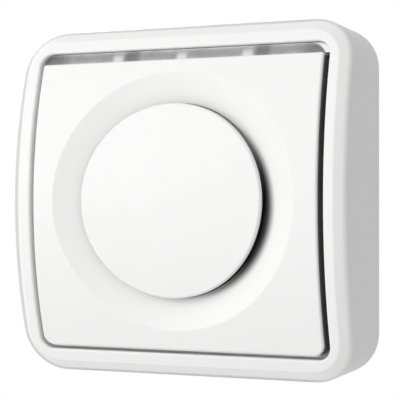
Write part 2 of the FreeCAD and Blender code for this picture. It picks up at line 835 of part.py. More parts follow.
def make_front_panel():
    low = corner_test(low_only=True)
    high = corner_test(high_only=True)
    outside = bulged("panel_outside", "0", "panel_half", "-panel_bottom", "panel_top",
                     back="ledge_depth", corners=[(low, "panel_corner"), (high, "panel_top_corner")])
    inside = bulged("panel_inside", "panel_wall", "panel_half - skirt_wall",
                    "-(panel_bottom - skirt_wall)", "panel_top - skirt_wall",
                    back="ledge_depth + 1", corners=[(low, "panel_corner - skirt_wall")])
    limit = bulged("panel_limit", "0", "panel_half", "-panel_bottom", "panel_top",
                   flat_back="mouth_back - 1")
    wall = ruled_dish("dish_wall", ("mouth_radius + panel_wall", "mouth_fall + panel_wall"),
                      ("dish_radius + 1", "panel_wall"), "mouth_back")
    bosses = [rod("panel_boss", "flange_lug_radius", "mouth_back", "mouth_back + boss_rise", x, z)
              for x, z in FLANGE_LUGS]
    clips = [panel_clip(side, level) for side in (-1, 1) for level in (-1, 1)]
    shell = without("panel_shell", outside, [inside])
    solid = fused("panel_solid", [shell, shared("panel_dish", wall, limit), *bosses, *clips])
    dish = ruled_dish("dish_hollow", ("mouth_radius", "mouth_fall"), ("dish_radius", "0"),
                      "mouth_back - 1")
    pilots = [rod("panel_pilot", "small_pilot", "mouth_back - 1", "mouth_back + flange_pilot", x, z)
              for x, z in FLANGE_LUGS]
    cut = without("panel_cut", without("panel_dished", solid, [dish]), pilots)

    def is_lip(edge):
        return all(on_bulge(point, "0") and math.hypot(point.x, point.z) < mm("dish_radius + 0.5")
                   for point in along(edge))

    def is_outer_edge(edge):
        return all(on_bulge(point, "0") for point in along(edge)) and not is_lip(edge)

    lip = softened("panel_lip", cut, is_lip, "dish_edge_radius")
    finish(softened("panel_body", lip, is_outer_edge, "panel_edge_radius"), "front_panel")

    around = bulged("seal_outside", "seal_sink", "panel_half + seal_wall",
                    "-(panel_bottom + seal_wall)", "panel_top - panel_top_corner",
                    back="ledge_depth", corners=[(low, "panel_corner + seal_wall")])
    within = bulged("seal_inside", "-1", "panel_half", "-panel_bottom", "panel_top + 1",
                    back="ledge_depth + 1", corners=[(low, "panel_corner")])
    finish(without("seal", around, [within]), "panel_seal")


def make_centre_disc():
    """The round cap over the sound outlet, on four posts."""
    side = "disc_radius + 2"
    slab = bulged("disc_slab", "-disc_proud", side, f"-({side})", side,
                  back="disc_wall - disc_proud")
    face = shared("disc_face", rod("disc_round", "disc_radius", "post_boss_depth", "case_depth + 2"),
                  slab)
    limit = bulged("disc_limit", "disc_wall / 2 - disc_proud", side, f"-({side})", side,
                   flat_back="post_boss_depth - 1")
    legs = [rod("disc_post", "post_radius", "post_boss_depth", "case_depth", x, z)
            for x, z in DISC_POSTS]
    legs = shared("disc_posts", fused("disc_post_set", legs), limit)
    pilots = [rod("disc_pilot", "small_pilot", "post_boss_depth - 1",
                  "post_seat + disc_screw_length + clearance", x, z) for x, z in DISC_POSTS]
    cut = without("disc_cut", fused("disc_solid", [face, legs]), pilots)

    def is_face_edge(edge):
        return all(on_bulge(point, "-disc_proud") for point in along(edge))

    disc = softened("disc_body", cut, is_face_edge, "disc_edge", bevel=True)
    finish(disc, "centre_disc")


# The sounder: a flared horn behind the mouth, a piezo plate behind its throat and a cover

COVER_LUGS = round_ring("lug_ring", 3, first=90.0)
FLARE_STEPS = 5


def make_horn():
    def flare(start, wall):
        """Corners along the horn's arc, whose straight steps keep its mesh small."""
        bend, end = f"(flare_radius - {wall})", "(horn_front - flare_radius)"
        steps = [f"({start} + (horn_mouth - {start}) * {n / FLARE_STEPS:.4f})"
                 for n in range(FLARE_STEPS + 1)]
        return [(r, f"{end} + sqrt({bend} ^ 2 - (horn_mouth - {r}) ^ 2)") for r in steps]

    body = turned("horn_flare", [
        ("throat_radius", "throat_back"), *flare("throat_radius", "0"),
        ("land_radius", "horn_front"), ("land_radius", "horn_front - horn_wall"),
        *reversed(flare("flare_foot", "horn_wall")), ("driver_radius", "throat_front"),
        ("driver_radius", "driver_back"), ("driver_radius - driver_wall", "driver_back"),
        ("driver_radius - driver_wall", "throat_back"),
        ("seat_radius + seat_width / 2", "throat_back"),
        ("seat_radius + seat_width / 2", "piezo_front"),
        ("seat_radius - seat_width / 2", "piezo_front"),
        ("seat_radius - seat_width / 2", "throat_back"),
    ])
    flange = [rod("horn_lug", "flange_lug_radius", "horn_front - horn_wall", "mouth_back", x, z)
              for x, z in FLANGE_LUGS]
    bosses = [rod("horn_boss", "post_boss_radius", "post_seat", "post_boss_depth", x, z)
              for x, z in DISC_POSTS]
    lugs = [rod("horn_cover_lug", "lug_radius", "driver_back", "throat_front", x, z)
            for x, z in COVER_LUGS]
    bored = [rod("horn_lug_hole", "small_hole", "throat_front", "case_depth", x, z)
             for x, z in FLANGE_LUGS + DISC_POSTS]
    bored += [rod("horn_pilot", "small_pilot", "driver_back - 1", "throat_front - 1", x, z)
              for x, z in COVER_LUGS]
    solid = fused("horn_solid", [body, *flange, *bosses, *lugs])
    return finish(without("horn_body", solid, bored), "sounder_horn")


def make_sounder():
    gasket = turned("gasket", [
        ("mouth_radius", "horn_front"), ("gasket_radius", "horn_front"),
        ("gasket_radius", "mouth_back"), ("mouth_radius", "mouth_back")])
    finish(gasket, "horn_gasket")
    piezo = turned("piezo", [
        ("0", "piezo_back - ceramic_wall"), ("ceramic_radius", "piezo_back - ceramic_wall"),
        ("ceramic_radius", "piezo_back"), ("piezo_radius", "piezo_back"),
        ("piezo_radius", "piezo_front"), ("0", "piezo_front")])
    finish(piezo, "piezo_disc")
    press_in, press_out = "seat_radius", "seat_radius + seat_width"
    cup = turned("driver_cup", [
        ("0", "driver_cover_back"), ("driver_radius", "driver_cover_back"),
        ("driver_radius", "driver_back"), ("driver_radius - driver_wall", "driver_back"),
        ("driver_radius - driver_wall", "driver_cover_floor"), (press_out, "driver_cover_floor"),
        (press_out, "piezo_back"), (press_in, "piezo_back"), (press_in, "driver_cover_floor"),
        ("0", "driver_cover_floor")])
    lugs = [rod("cup_lug", "lug_radius", "driver_cover_seat", "driver_back", x, z)
            for x, z in COVER_LUGS]
    bored = [rod("cup_hole", "small_hole", "driver_cover_back - 1", "driver_back + 1", x, z)
             for x, z in COVER_LUGS]
    bored += [rod("cup_lead_hole", "lead_hole", "driver_cover_back - 1", "driver_back", x, "0")
              for x in ("-ceramic_radius / 2", "ceramic_radius / 2")]
    cover = without("driver_cover", fused("cup_solid", [cup, *lugs]), bored)
    finish(cover, "sounder_cover")
    screws = [screw("cover_screw", x, z, "driver_cover_seat", "cover_screw_length", small=True)
              for x, z in COVER_LUGS]
    finish(together("cover_screws", screws), "sounder_cover_screws")
    screws = [screw("horn_screw", x, z, "horn_front - horn_wall", "flange_screw_length", small=True)
              for x, z in FLANGE_LUGS]
    finish(together("horn_screw_set", screws), "horn_screws")
    screws = [screw("disc_screw", x, z, "post_seat", "disc_screw_length", small=True)
              for x, z in DISC_POSTS]
    finish(together("disc_screw_set", screws), "disc_screws")


# The light: a lens in the slot, three light guides, a reflector and a board with three lamps

def make_light():
    low, high = "panel_top + lens_fit", "opening_top - lens_fit"
    end = "opening_half - lens_fit"
    room = bulged("lens_room", "lens_sink", end, "0", high, back="ledge_depth",
                  corners=[(corner_test(high_only=True), "opening_corner - lens_fit")])
    cut = block("lens_cut", f"-({end})", end, "split_depth", "case_depth", low, high)
    strip = shared("lens_strip", room, cut)
    limit = bulged("lens_limit", "lens_sink + 1", end, low, high, flat_back="guide_depth")
    bars = [block("lens_guide", f"{x} - guide_width / 2", f"{x} + guide_width / 2", "guide_depth",
                  "case_depth", "slot_middle - guide_height / 2", "slot_middle + guide_height / 2")
            for x in LIGHTS]
    bars = shared("lens_guides", fused("lens_guide_set", bars), limit)
    finish(fused("lens_solid", [strip, bars]), "strobe_lens")

    half = "reflector_length / 2"
    bottom, top = "slot_middle - reflector_height / 2", "slot_middle + reflector_height / 2"
    board_front = "strobe_board_front"
    tray = block("reflector_tray", f"-{half}", half, board_front, "case_depth", bottom, top)
    limit = bulged("reflector_limit", "ledge_back + clearance / 3", half, bottom, top,
                   flat_back=board_front)
    cups = [taper("reflector_cup", "cup_radius", "cup_radius * 0.75", board_front,
                  f"{board_front} + cup_depth", x, "slot_middle") for x in LIGHTS]
    cups += [rod("reflector_hole", "small_hole", "strobe_board_depth", "case_depth", x, "slot_middle")
             for x in STROBE_SCREWS]
    finish(without("reflector", shared("reflector_solid", tray, limit), cups), "strobe_reflector")

    board = plate("light_board", "strobe_board_depth", board_front, f"-{half}", half, bottom, top,
                  "1")
    holes(board, [(x, "slot_middle") for x in STROBE_SCREWS], "small_hole", board_front,
          "strobe_board_depth")
    finish(board, "strobe_board")
    for number, x in enumerate(LIGHTS, start=1):
        side = "led_side / 2"
        base = block("led_base", f"{x} - {side}", f"{x} + {side}", board_front,
                     f"{board_front} + led_height", f"slot_middle - {side}", f"slot_middle + {side}")
        top = f"{board_front} + led_height"
        dome = turned("led_dome", [("0", f"{top} - 0.1"), ("led_dome", f"{top} - 0.1"),
                                   ("led_dome", top, "-led_dome"), ("0", f"{top} + led_dome")])
        dome.setExpression("Placement.Base.x", bound(x))
        dome.setExpression("Placement.Base.z", bound("slot_middle"))
        finish(fused("led", [base, dome]), f"strobe_led_{number}")
    screws = [screw("light_screw", x, "slot_middle", "strobe_board_depth", "strobe_screw_length",
                    small=True) for x in STROBE_SCREWS]
    finish(together("light_screws", screws), "strobe_screws")


# The rear case: a tray with the battery bay, the screw posts and the slots for the hooks

HOOKS = [(f"{side} * hook_x", level) for side in (-1, 1) for level in ("hook_upper", "-hook_lower")]
STANDOFFS = [(f"{side} * standoff_x", level) for side in (-1, 1)
             for level in ("standoff_top", "-standoff_bottom")]
COVER_TABS = [f"{side} * cover_tab_x" for side in (-1, 1)]
TAB_BOSS_Z = "-(bay_high - cover_rest - cover_tab_reach / 2)"


def make_rear_case():
    body = new_body("rear_case_body")
    sketch = sketch_on(body, "XZ_Plane", "wall_gap")
    rectangle(sketch, "-half_width", "half_width", "-half_height", "half_height")
    feature = pad(body, sketch, "split_depth - wall_gap")
    feature = round_edges(body, feature, runs_in_depth, "corner_radius")

    def at_depth(depth):
        return lambda edge: all(abs(point.y + mm(depth)) < NEAR for point in along(edge))

    feature = round_edges(body, feature, at_depth("wall_gap"), "back_edge")
    seam = [f"Edge{n}" for n, edge in enumerate(feature.Shape.Edges, 1)
            if at_depth("split_depth")(edge)]
    groove = body.newObject("PartDesign::Chamfer", "seam_groove")
    groove.Base = (feature, seam)
    groove.setExpression("Size", bound("seam_sink"))
    doc.recompute()

    sketch = sketch_on(body, "XZ_Plane", "split_depth")
    rounded(sketch, "-inner_half", "inner_half", "-inner_top", "inner_top", "inner_corner")
    pocket(body, sketch, "split_depth - back_inside")
    sketch = sketch_on(body, "XZ_Plane", "wall_gap")
    rounded(sketch, "-recess_half", "recess_half", "-recess_top", "recess_top",
            "corner_radius - back_land")
    pocket(body, sketch, "back_sink - wall_gap", forwards=True)

    lap = "inner_half + lap_wall", "inner_top + lap_wall", "inner_corner + lap_wall"
    sketch = sketch_on(body, "XZ_Plane", "split_depth")
    rounded(sketch, f"-({lap[0]})", lap[0], f"-({lap[1]})", lap[1], lap[2])
    rounded(sketch, "-inner_half", "inner_half", "-inner_top", "inner_top", "inner_corner")
    pad(body, sketch, "lap_height")

    sketch = sketch_on(body, "XZ_Plane", "back_inside")
    rectangle(sketch, "-(bay_half + bay_wall)", "bay_half + bay_wall", "-(bay_low + bay_wall)",
              "-(bay_high - bay_wall)")
    pad(body, sketch, "bay_floor + bay_wall - back_inside")
    posts(body, CASE_CORNERS, "case_boss_radius", "back_inside - back_wall / 2", "split_depth")
    posts(body, STANDOFFS, "standoff_radius", "back_inside - back_wall / 2", "board_depth")
    tab_places = [(x, TAB_BOSS_Z) for x in COVER_TABS]
    posts(body, tab_places, "cover_boss_radius", "back_inside - back_wall / 2",
          "board_depth - clearance")

    sketch = sketch_on(body, "XZ_Plane", "back_sink")
    rectangle(sketch, "-bay_half", "bay_half", "-bay_low", "-bay_high")
    pocket(body, sketch, "bay_floor - back_sink", forwards=True)
    sketch = sketch_on(body, "XZ_Plane", "back_sink")
    rectangle(sketch, "-(bay_half + cover_rest)", "bay_half + cover_rest",
              "-(bay_low + cover_rest)", "-(bay_high - cover_rest)")
    pocket(body, sketch, "back_wall", forwards=True)
    sketch = sketch_on(body, "XZ_Plane", "back_sink")
    for x in COVER_TABS:
        rectangle(sketch, f"{x} - cover_tab_width / 2", f"{x} + cover_tab_width / 2",
                  "-(bay_high - cover_rest + 1)", "-(bay_high - cover_rest - cover_tab_reach)")
    pocket(body, sketch, "back_wall", forwards=True)

    holes(body, CASE_CORNERS, "screw_head_radius + clearance", "back_sink", "case_screw_seat", True)
    holes(body, CASE_CORNERS, "screw_hole", "case_screw_seat", "split_depth", True)
    holes(body, STANDOFFS, "small_pilot", "board_depth", "back_inside + 0.5")
    holes(body, tab_places, "small_pilot", "back_inside", "board_depth - 1", True)
    sketch = sketch_on(body, "XZ_Plane", "back_sink")
    for x, z in HOOKS:
        rectangle(sketch, f"{x} - hook_width / 2 - hook_play", f"{x} + hook_width / 2 + hook_play",
                  f"{z} - hook_stem - lift_travel - 2 * hook_play", f"{z} + hook_play")
    pocket(body, sketch, "back_wall", forwards=True)
    holes(body, [("tamper_x", "tamper_z")], "tamper_radius + running_fit", "back_sink",
          "back_inside", True)
    holes(body, [("-button_x", "button_z")], "button_radius + running_fit", "back_sink",
          "back_inside", True)
    finish(body, "rear_case")
    screws = [screw("case_screw", x, z, "case_screw_seat", "case_screw_length")
              for x, z in CASE_CORNERS]
    finish(together("case_screw_set", screws), "case_screws")


# The battery: four cells side by side in pairs, their contacts and the screwed cover

def make_battery():
    number = 0
    for row in (-1, 1):
        for column in (-1, 1):
            number += 1
            height = f"-bay_centre + {row} * cell_pitch / 2"
            start = "-cell_length" if column < 0 else "0"
            facing = row
            body_start = f"{start} + cell_nub_height" if facing < 0 else start
            nub_start = start if facing < 0 else f"{start} + cell_length - cell_nub_height"
            pieces = []
            for radius, length, begin in (("cell_radius", "cell_length - cell_nub_height", body_start),
                                          ("cell_nub_radius", "cell_nub_height", nub_start)):
                solid = doc.addObject("Part::Cylinder", "cell_round")
                solid.Placement = Placement(Vector(), ALONG_X)
                solid.setExpression("Radius", bound(radius))
                solid.setExpression("Height", bound(length))
                solid.setExpression("Placement.Base.x", bound(begin))
                solid.setExpression("Placement.Base.y", bound("-cell_depth"))
                solid.setExpression("Placement.Base.z", bound(height))
                pieces.append(solid)
            finish(fused("cell", pieces), f"battery_cell_{number}")

    contacts = []
    for side in (-1, 1):
        for row in (-1, 1):
            height = f"-bay_centre + {row} * cell_pitch / 2"
            body = new_body("contact")
            sketch = sketch_on(body, "XY_Plane", f"{height} - contact_width / 2")
            wall, tip = "bay_half", "cell_length + contact_fit"
            corners = [(wall, "cell_depth - contact_reach"), (wall, "cell_depth + contact_reach"),
                       (f"{wall} - contact_wall", "cell_depth + contact_reach"),
                       (tip, "cell_depth + contact_wall"), (tip, "cell_depth - contact_wall"),
                       (f"{wall} - contact_wall", "cell_depth - contact_reach")]
            inner = [(f"{wall} - contact_wall", "cell_depth + contact_reach - 2 * contact_wall"),
                     (f"{wall} - contact_wall", "cell_depth - contact_reach + 2 * contact_wall"),
                     (f"{tip} + contact_wall", "cell_depth")]
            for loop in (corners, inner):
                outline(sketch, [(f"{side} * ({x})", f"-({depth})") for x, depth in loop])
            pad(body, sketch, "contact_width")
            contacts.append(body)
    finish(together("contact_set", contacts), "battery_contacts")

    edge = "cover_rest - clearance"
    lid = plate("cover_lid", "back_sink + cover_fit", "back_inside", f"-(bay_half + {edge})",
                f"bay_half + {edge}", f"-(bay_low + {edge})", f"-(bay_high - ({edge}))", "0.5")
    sketch = sketch_on(lid, "XZ_Plane", "back_sink + cover_fit")
    for x in COVER_TABS:
        rectangle(sketch, f"{x} - cover_tab_width / 2 + clearance",
                  f"{x} + cover_tab_width / 2 - clearance", "-(bay_high + 1)",
                  "-(bay_high - cover_rest - cover_tab_reach + clearance)")
    pad(lid, sketch, "back_wall - cover_fit")
    sketch = sketch_on(lid, "XZ_Plane", "back_sink + cover_fit")
    for step in range(-3, 4):
        place = f"{step} * grip_pitch"
        rectangle(sketch, f"{place} - grip_width / 2", f"{place} + grip_width / 2",
                  "-(bay_centre + grip_height / 2)", "-(bay_centre - grip_height / 2)")
    pocket(lid, sketch, "grip_sink", forwards=True)
    tab_places = [(x, TAB_BOSS_Z) for x in COVER_TABS]
    holes(lid, tab_places, "small_hole", "back_sink + cover_fit", "back_inside", True)
    finish(lid, "battery_cover")
    screws = [screw("lid_screw", x, z, "back_sink + cover_fit", "lid_screw_length", small=True)
              for x, z in tab_places]
    finish(together("lid_screws", screws), "battery_cover_screws")


# The main board and what stands on it

def make_electronics():
    board = plate("board", "board_depth", "board_front", "-board_half", "board_half",
                  "-board_bottom", "board_top", "2")
    holes(board, STANDOFFS, "small_hole", "board_front", "board_depth")
    holes(board, [("tamper_x", "tamper_z")], "stem_radius + clearance", "board_front", "board_depth")
    finish(board, "main_board")
    screws = [screw("board_screw", x, z, "board_front", "board_screw_length", small=True,
                    forwards=False) for x, z in STANDOFFS]
    finish(together("board_screw_set", screws), "board_screws")

    can = plate("can", "board_front", "board_front + shield_height", "shield_x - shield_length / 2",
                "shield_x + shield_length / 2", "shield_z - shield_width / 2",
                "shield_z + shield_width / 2", "1")
    sketch = sketch_on(can, "XZ_Plane", "board_front")
    rounded(sketch, "shield_x - shield_length / 2 + shield_wall",
            "shield_x + shield_length / 2 - shield_wall", "shield_z - shield_width / 2 + shield_wall",
            "shield_z + shield_width / 2 - shield_wall", "1 - shield_wall")
    pocket(can, sketch, "shield_height - shield_wall", forwards=True)
    finish(can, "radio_shield")
    chip = plate("chip", "board_front", "board_front + chip_height", "chip_x - chip_side / 2",
                 "chip_x + chip_side / 2", "chip_z - chip_side / 2", "chip_z + chip_side / 2", "0.3")
    holes(chip, [("chip_x - chip_side * 0.35", "chip_z + chip_side * 0.35")], "0.5",
          "board_front + chip_height", "board_front + chip_height - 0.2")
    finish(chip, "controller_chip")

    coil = turned("coil", [
        ("0", "board_front"), ("coil_radius", "board_front"),
        ("coil_radius", "board_front + coil_rim"), ("coil_waist", "board_front + coil_rim"),
        ("coil_waist", "board_front + coil_height - coil_rim"),
        ("coil_radius", "board_front + coil_height - coil_rim"),
        ("coil_radius", "board_front + coil_height"), ("0", "board_front + coil_height")])
    coil.setExpression("Placement.Base.x", bound("coil_x"))
    coil.setExpression("Placement.Base.z", bound("coil_z"))
    finish(coil, "boost_coil")

    barrel = doc.addObject("Part::Cylinder", "capacitor")
    barrel.Placement = Placement(Vector(), ALONG_X)
    barrel.setExpression("Radius", bound("capacitor_radius"))
    barrel.setExpression("Height", bound("capacitor_length"))
    barrel.setExpression("Placement.Base.x", bound("-capacitor_length / 2"))
    barrel.setExpression("Placement.Base.y", bound("-(board_front + capacitor_radius)"))
    barrel.setExpression("Placement.Base.z", bound("capacitor_z"))
    doc.recompute()
    ends = softened("capacitor_ends", barrel, lambda edge: isinstance(edge.Curve, Part.Circle),
                    "0.6", bevel=True)
    finish(ends, "storage_capacitor")
    finish(make_aerial(), "aerial_coil")

    half = "switch_side / 2"
    base = block("pair_base", f"-button_x - {half}", f"-button_x + {half}", "switch_top",
                 "board_depth", f"button_z - {half}", f"button_z + {half}")
    nub = rod("pair_nub", "switch_nub_radius", "switch_nub_top", "board_depth", "-button_x",
              "button_z")
    finish(fused("pair_switch", [base, nub]), "pairing_switch")
    left, right = "tamper_x + stem_radius + 2 * clearance", "tamper_x + stem_radius + tamper_body"
    base = block("tamper_base", left, right, "board_front", "board_front + tamper_height",
                 "tamper_z - tamper_body", "tamper_z + tamper_body")
    arm = block("tamper_arm", "tamper_x - stem_radius", right, "lever_depth",
                "lever_depth + lever_wall", "tamper_z - stem_radius", "tamper_z + stem_radius")
    finish(fused("tamper_unit", [base, arm]), "tamper_switch")


WINDING_STEPS = 8
WINDING_SIDES = 5


def wound(name, radius, wire, length, turns, base, facing=False):
    """A wire wound from a base along the front-facing axis, or else upwards.

    The wire has few sides and few steps in a turn, which keeps its mesh small.
    """
    steps = round(mm(turns) * WINDING_STEPS)
    loops = []
    for step in range(steps + 1):
        turn = 2 * math.pi * step / WINDING_STEPS
        centre = Vector(mm(radius) * math.cos(turn), mm(radius) * math.sin(turn),
                        mm(length) * step / steps)
        out, up = Vector(math.cos(turn), math.sin(turn), 0) * mm(wire), Vector(0, 0, mm(wire))
        sides = [2 * math.pi * n / WINDING_SIDES for n in range(WINDING_SIDES + 1)]
        loops.append(Part.makePolygon([centre + out * math.cos(a) + up * math.sin(a)
                                       for a in sides]))
    solid = doc.addObject("Part::Feature", name)
    solid.Shape = Part.makeLoft(loops, True, True)
    start = Vector(*[mm(value) for value in base])
    solid.Placement = Placement(start, FACING if facing else Rotation())
    return solid


def make_aerial():
    base = ("aerial_x", "-(board_front + aerial_radius + aerial_wire + clearance)", "aerial_z")
    winding = wound("aerial_winding", "aerial_radius", "aerial_wire", "aerial_length",
                    "aerial_turns", base)
    foot = rod("aerial_foot", "aerial_wire * 1.2", "board_depth",
               "board_front + aerial_radius + aerial_wire + clearance",
               "aerial_x + aerial_radius", "aerial_z")
    return fused("aerial", [winding, foot])


# The wall bracket with its hooks and the ramp that the tamper plunger slides on

def make_bracket():
    half = "bracket_width / 2"
    base = plate("bracket_plate", "0", "bracket_wall", f"-{half}", half, "-bracket_low",
                 "bracket_high", "bracket_corner")
    sketch = sketch_on(base, "XZ_Plane", "bracket_wall / 2")
    rounded(sketch, f"-{half}", half, "-bracket_low", "bracket_high", "bracket_corner")
    inner = "bracket_edge_wall"
    rounded(sketch, f"-({half} - {inner})", f"{half} - {inner}", f"-(bracket_low - {inner})",
            f"bracket_high - {inner}", f"bracket_corner - {inner}")
    pad(base, sketch, "bracket_wall / 2 + bracket_edge_height")
    screws = four_ways("wall_hole_across / 2", "wall_hole_span / 2")
    holes(base, screws, "wall_hole_radius", "bracket_wall", "0")
    sketch = sketch_on(base, "XZ_Plane", "bracket_wall")
    rounded(sketch, "-(button_x + window_wide / 2)", "-(button_x - window_wide / 2)",
            "button_z - window_high / 2", "button_z + window_high / 2", "3")
    rounded(sketch, "-lower_window / 2", "lower_window / 2", "-(bracket_low - 4)",
            "-(bracket_low - 4 - lower_window_high)", "3")
    pocket(base, sketch, "bracket_wall")
    hooks = []
    for x, z in HOOKS:
        lip_back = "back_inside + clearance"
        lip_front = f"{lip_back} + hook_lip_wall"
        hooks.append(side_profile("hook", [
            ("bracket_wall / 2", f"{z} - hook_stem"), (lip_front, f"{z} - hook_stem"),
            (lip_front, f"{z} + hook_lip"), (lip_back, f"{z} + hook_lip"), (lip_back, z),
            ("bracket_wall / 2", z)], x, "hook_width"))
    ramp = side_profile("tamper_ramp", [
        ("bracket_wall / 2", "tamper_z - tamper_radius - ramp_land"),
        ("tamper_pad", "tamper_z - tamper_radius - ramp_land"),
        ("tamper_pad", "tamper_z - tamper_radius"),
        ("tamper_pad - tamper_travel", "tamper_z - tamper_radius + lift_travel"),
        ("bracket_wall / 2", "tamper_z - tamper_radius + lift_travel")],
        "tamper_x", "tamper_pad_width")
    finish(fused("bracket", [base, *hooks, ramp]), "wall_bracket")


# What moves on its own: the tamper plunger with its spring, and the pairing button

def make_moving_pieces():
    plunger = turned("plunger", [
        ("0", "tamper_tip"), ("tamper_radius - tip_chamfer", "tamper_tip"),
        ("tamper_radius", "tamper_tip + tip_chamfer"), ("tamper_radius", "tamper_collar_back"),
        ("tamper_collar", "tamper_collar_back"), ("tamper_collar", "tamper_collar_front"),
        ("stem_radius", "tamper_collar_front"), ("stem_radius", "lever_depth - clearance"),
        ("0", "lever_depth - clearance")])
    plunger.setExpression("Placement.Base.x", bound("tamper_x"))
    plunger.setExpression("Placement.Base.z", bound("tamper_z"))
    finish(plunger, "tamper_plunger")
    space = "(board_depth - tamper_collar_front - 2 * tamper_spring_wire - spring_play)"
    base = ("tamper_x", "-(tamper_collar_front + tamper_spring_wire + spring_play / 2)", "tamper_z")
    spring = wound("spring", "tamper_spring_radius", "tamper_spring_wire", space,
                   "tamper_spring_turns", base, facing=True)
    finish(spring, "tamper_spring")
    button = turned("button", [
        ("0", "button_back"), ("button_radius - tip_chamfer", "button_back"),
        ("button_radius", "button_back + tip_chamfer"), ("button_radius", "button_flange_back"),
        ("button_flange", "button_flange_back"), ("button_flange", "button_front"),
        ("0", "button_front")])
    button.setExpression("Placement.Base.x", bound("-button_x"))
    button.setExpression("Placement.Base.z", bound("button_z"))
    finish(button, "pairing_button")


def save_pieces():
    """Check every object and every piece, then write one STEP file for each piece."""
    doc.recompute()
    for item in doc.Objects:
        if {"Invalid", "Error"} & set(item.State):
            raise RuntimeError(f"{item.Label} failed: {item.State}")
    os.makedirs("parts", exist_ok=True)
    for piece in PIECES:
        shape = piece.Shape
        if shape.isNull() or not shape.isValid() or not shape.Solids:
            raise RuntimeError(f"{piece.Label} has no valid solid")
        shape.exportStep(os.path.join("parts", piece.Label + ".step"))
        box = shape.BoundBox
        print(f"{piece.Label:22s} {len(shape.Solids):2d} solids {shape.Volume / 1000:8.3f} cm3 "
              f"{box.XLength:6.1f} x {box.YLength:5.1f} x {box.ZLength:6.1f}")


make_bracket()
make_rear_case()
make_front_case()
make_front_panel()
make_centre_disc()
make_horn()
make_sounder()
make_light()
make_battery()
make_electronics()
make_moving_pieces()
save_pieces()
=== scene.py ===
# %% [markdown]
# An indoor siren, dressed for its portrait.
# The shapes come from a CAD model, already assembled and measured in metres. This lesson gives
# them their finishes, adds the small repeated details, and sets up the camera and the light.

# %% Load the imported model
import math

import bpy
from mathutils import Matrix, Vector
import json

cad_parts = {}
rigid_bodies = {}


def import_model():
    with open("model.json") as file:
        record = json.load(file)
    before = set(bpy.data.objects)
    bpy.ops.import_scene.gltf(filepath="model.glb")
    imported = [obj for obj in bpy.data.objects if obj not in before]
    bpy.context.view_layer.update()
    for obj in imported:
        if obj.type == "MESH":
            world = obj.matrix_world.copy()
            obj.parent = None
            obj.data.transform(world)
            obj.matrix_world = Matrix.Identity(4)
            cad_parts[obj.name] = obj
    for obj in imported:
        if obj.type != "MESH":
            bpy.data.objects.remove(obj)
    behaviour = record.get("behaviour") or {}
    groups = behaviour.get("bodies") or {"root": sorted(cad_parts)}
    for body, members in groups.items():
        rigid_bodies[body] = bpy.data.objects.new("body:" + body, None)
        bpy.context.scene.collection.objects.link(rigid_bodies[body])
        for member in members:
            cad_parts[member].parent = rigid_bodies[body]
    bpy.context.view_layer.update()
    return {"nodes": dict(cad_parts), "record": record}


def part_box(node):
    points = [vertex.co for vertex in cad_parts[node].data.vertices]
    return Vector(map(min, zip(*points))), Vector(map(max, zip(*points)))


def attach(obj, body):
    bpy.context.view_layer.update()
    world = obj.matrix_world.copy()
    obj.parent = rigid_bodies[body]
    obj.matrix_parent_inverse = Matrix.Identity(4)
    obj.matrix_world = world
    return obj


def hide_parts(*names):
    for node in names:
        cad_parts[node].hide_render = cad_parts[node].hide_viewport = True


for leftover in list(bpy.data.objects):
    bpy.data.objects.remove(leftover)
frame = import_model()
nodes = frame["nodes"]
slot_of = {row["node"]: row["material_slot"] for row in frame["record"]["subparts"]}
MM = 0.001
print("pieces from the CAD model:", len(nodes))

# %% [markdown]
# The camera stands to the right of the siren and level with it, a little over half a metre
# away. A long lens at that distance gives the gentle perspective of a catalogue picture. The
# numbers were found by fitting the outline of the case, so they are written down as they are.
# The focal length and the small shift are in pixels of a picture 400 pixels wide.

# %% Place the camera
YAW, PITCH = math.radians(22.75), math.radians(-0.3)
DISTANCE = 0.53657
AIM = Vector((0, -0.01739, 0))
PICTURE_WIDTH = 400
FOCAL_LENGTH, SHIFT_X, SHIFT_Y = 1305.9, -0.41, 1.04
SENSOR = 36.0
NEAREST, FARTHEST = 0.01, 20

back = Vector((math.sin(YAW) * math.cos(PITCH),
               -math.cos(YAW) * math.cos(PITCH),
               math.sin(PITCH)))
camera = bpy.data.objects.new("camera", bpy.data.cameras.new("camera"))
camera.data.sensor_width = SENSOR
camera.data.lens = FOCAL_LENGTH / PICTURE_WIDTH * SENSOR
camera.data.shift_x = SHIFT_X / PICTURE_WIDTH
camera.data.shift_y = SHIFT_Y / PICTURE_WIDTH
camera.data.clip_start, camera.data.clip_end = NEAREST, FARTHEST
camera.location = AIM + back * DISTANCE
camera.rotation_mode = "QUATERNION"
camera.rotation_quaternion = (-back).to_track_quat("-Z", "Y")
bpy.context.scene.collection.objects.link(camera)
bpy.context.scene.camera = camera
print("camera at", tuple(round(v, 4) for v in camera.location))

# %% [markdown]
# Node trees are built the same way for finishes and for shapes: add a node, set its options,
# then give each input a value or a link. One small helper does all three, so that every tree
# below reads as a list of its nodes.

# %% Helpers for node trees
FLOAT, VECTOR, COLOUR = "NodeSocketFloat", "NodeSocketVector", "NodeSocketColor"
GEOMETRY, MATERIAL = "NodeSocketGeometry", "NodeSocketMaterial"


def add(tree, kind, inputs=None, **options):
    """Adds a node. An input is given a value, or a socket to link from."""
    made = tree.nodes.new(kind)
    for name, value in options.items():
        setattr(made, name, value)
    for key, value in (inputs or {}).items():
        socket = made.inputs[key]
        if isinstance(value, bpy.types.NodeSocket):
            tree.links.new(value, socket)
        else:
            socket.default_value = value
    return made


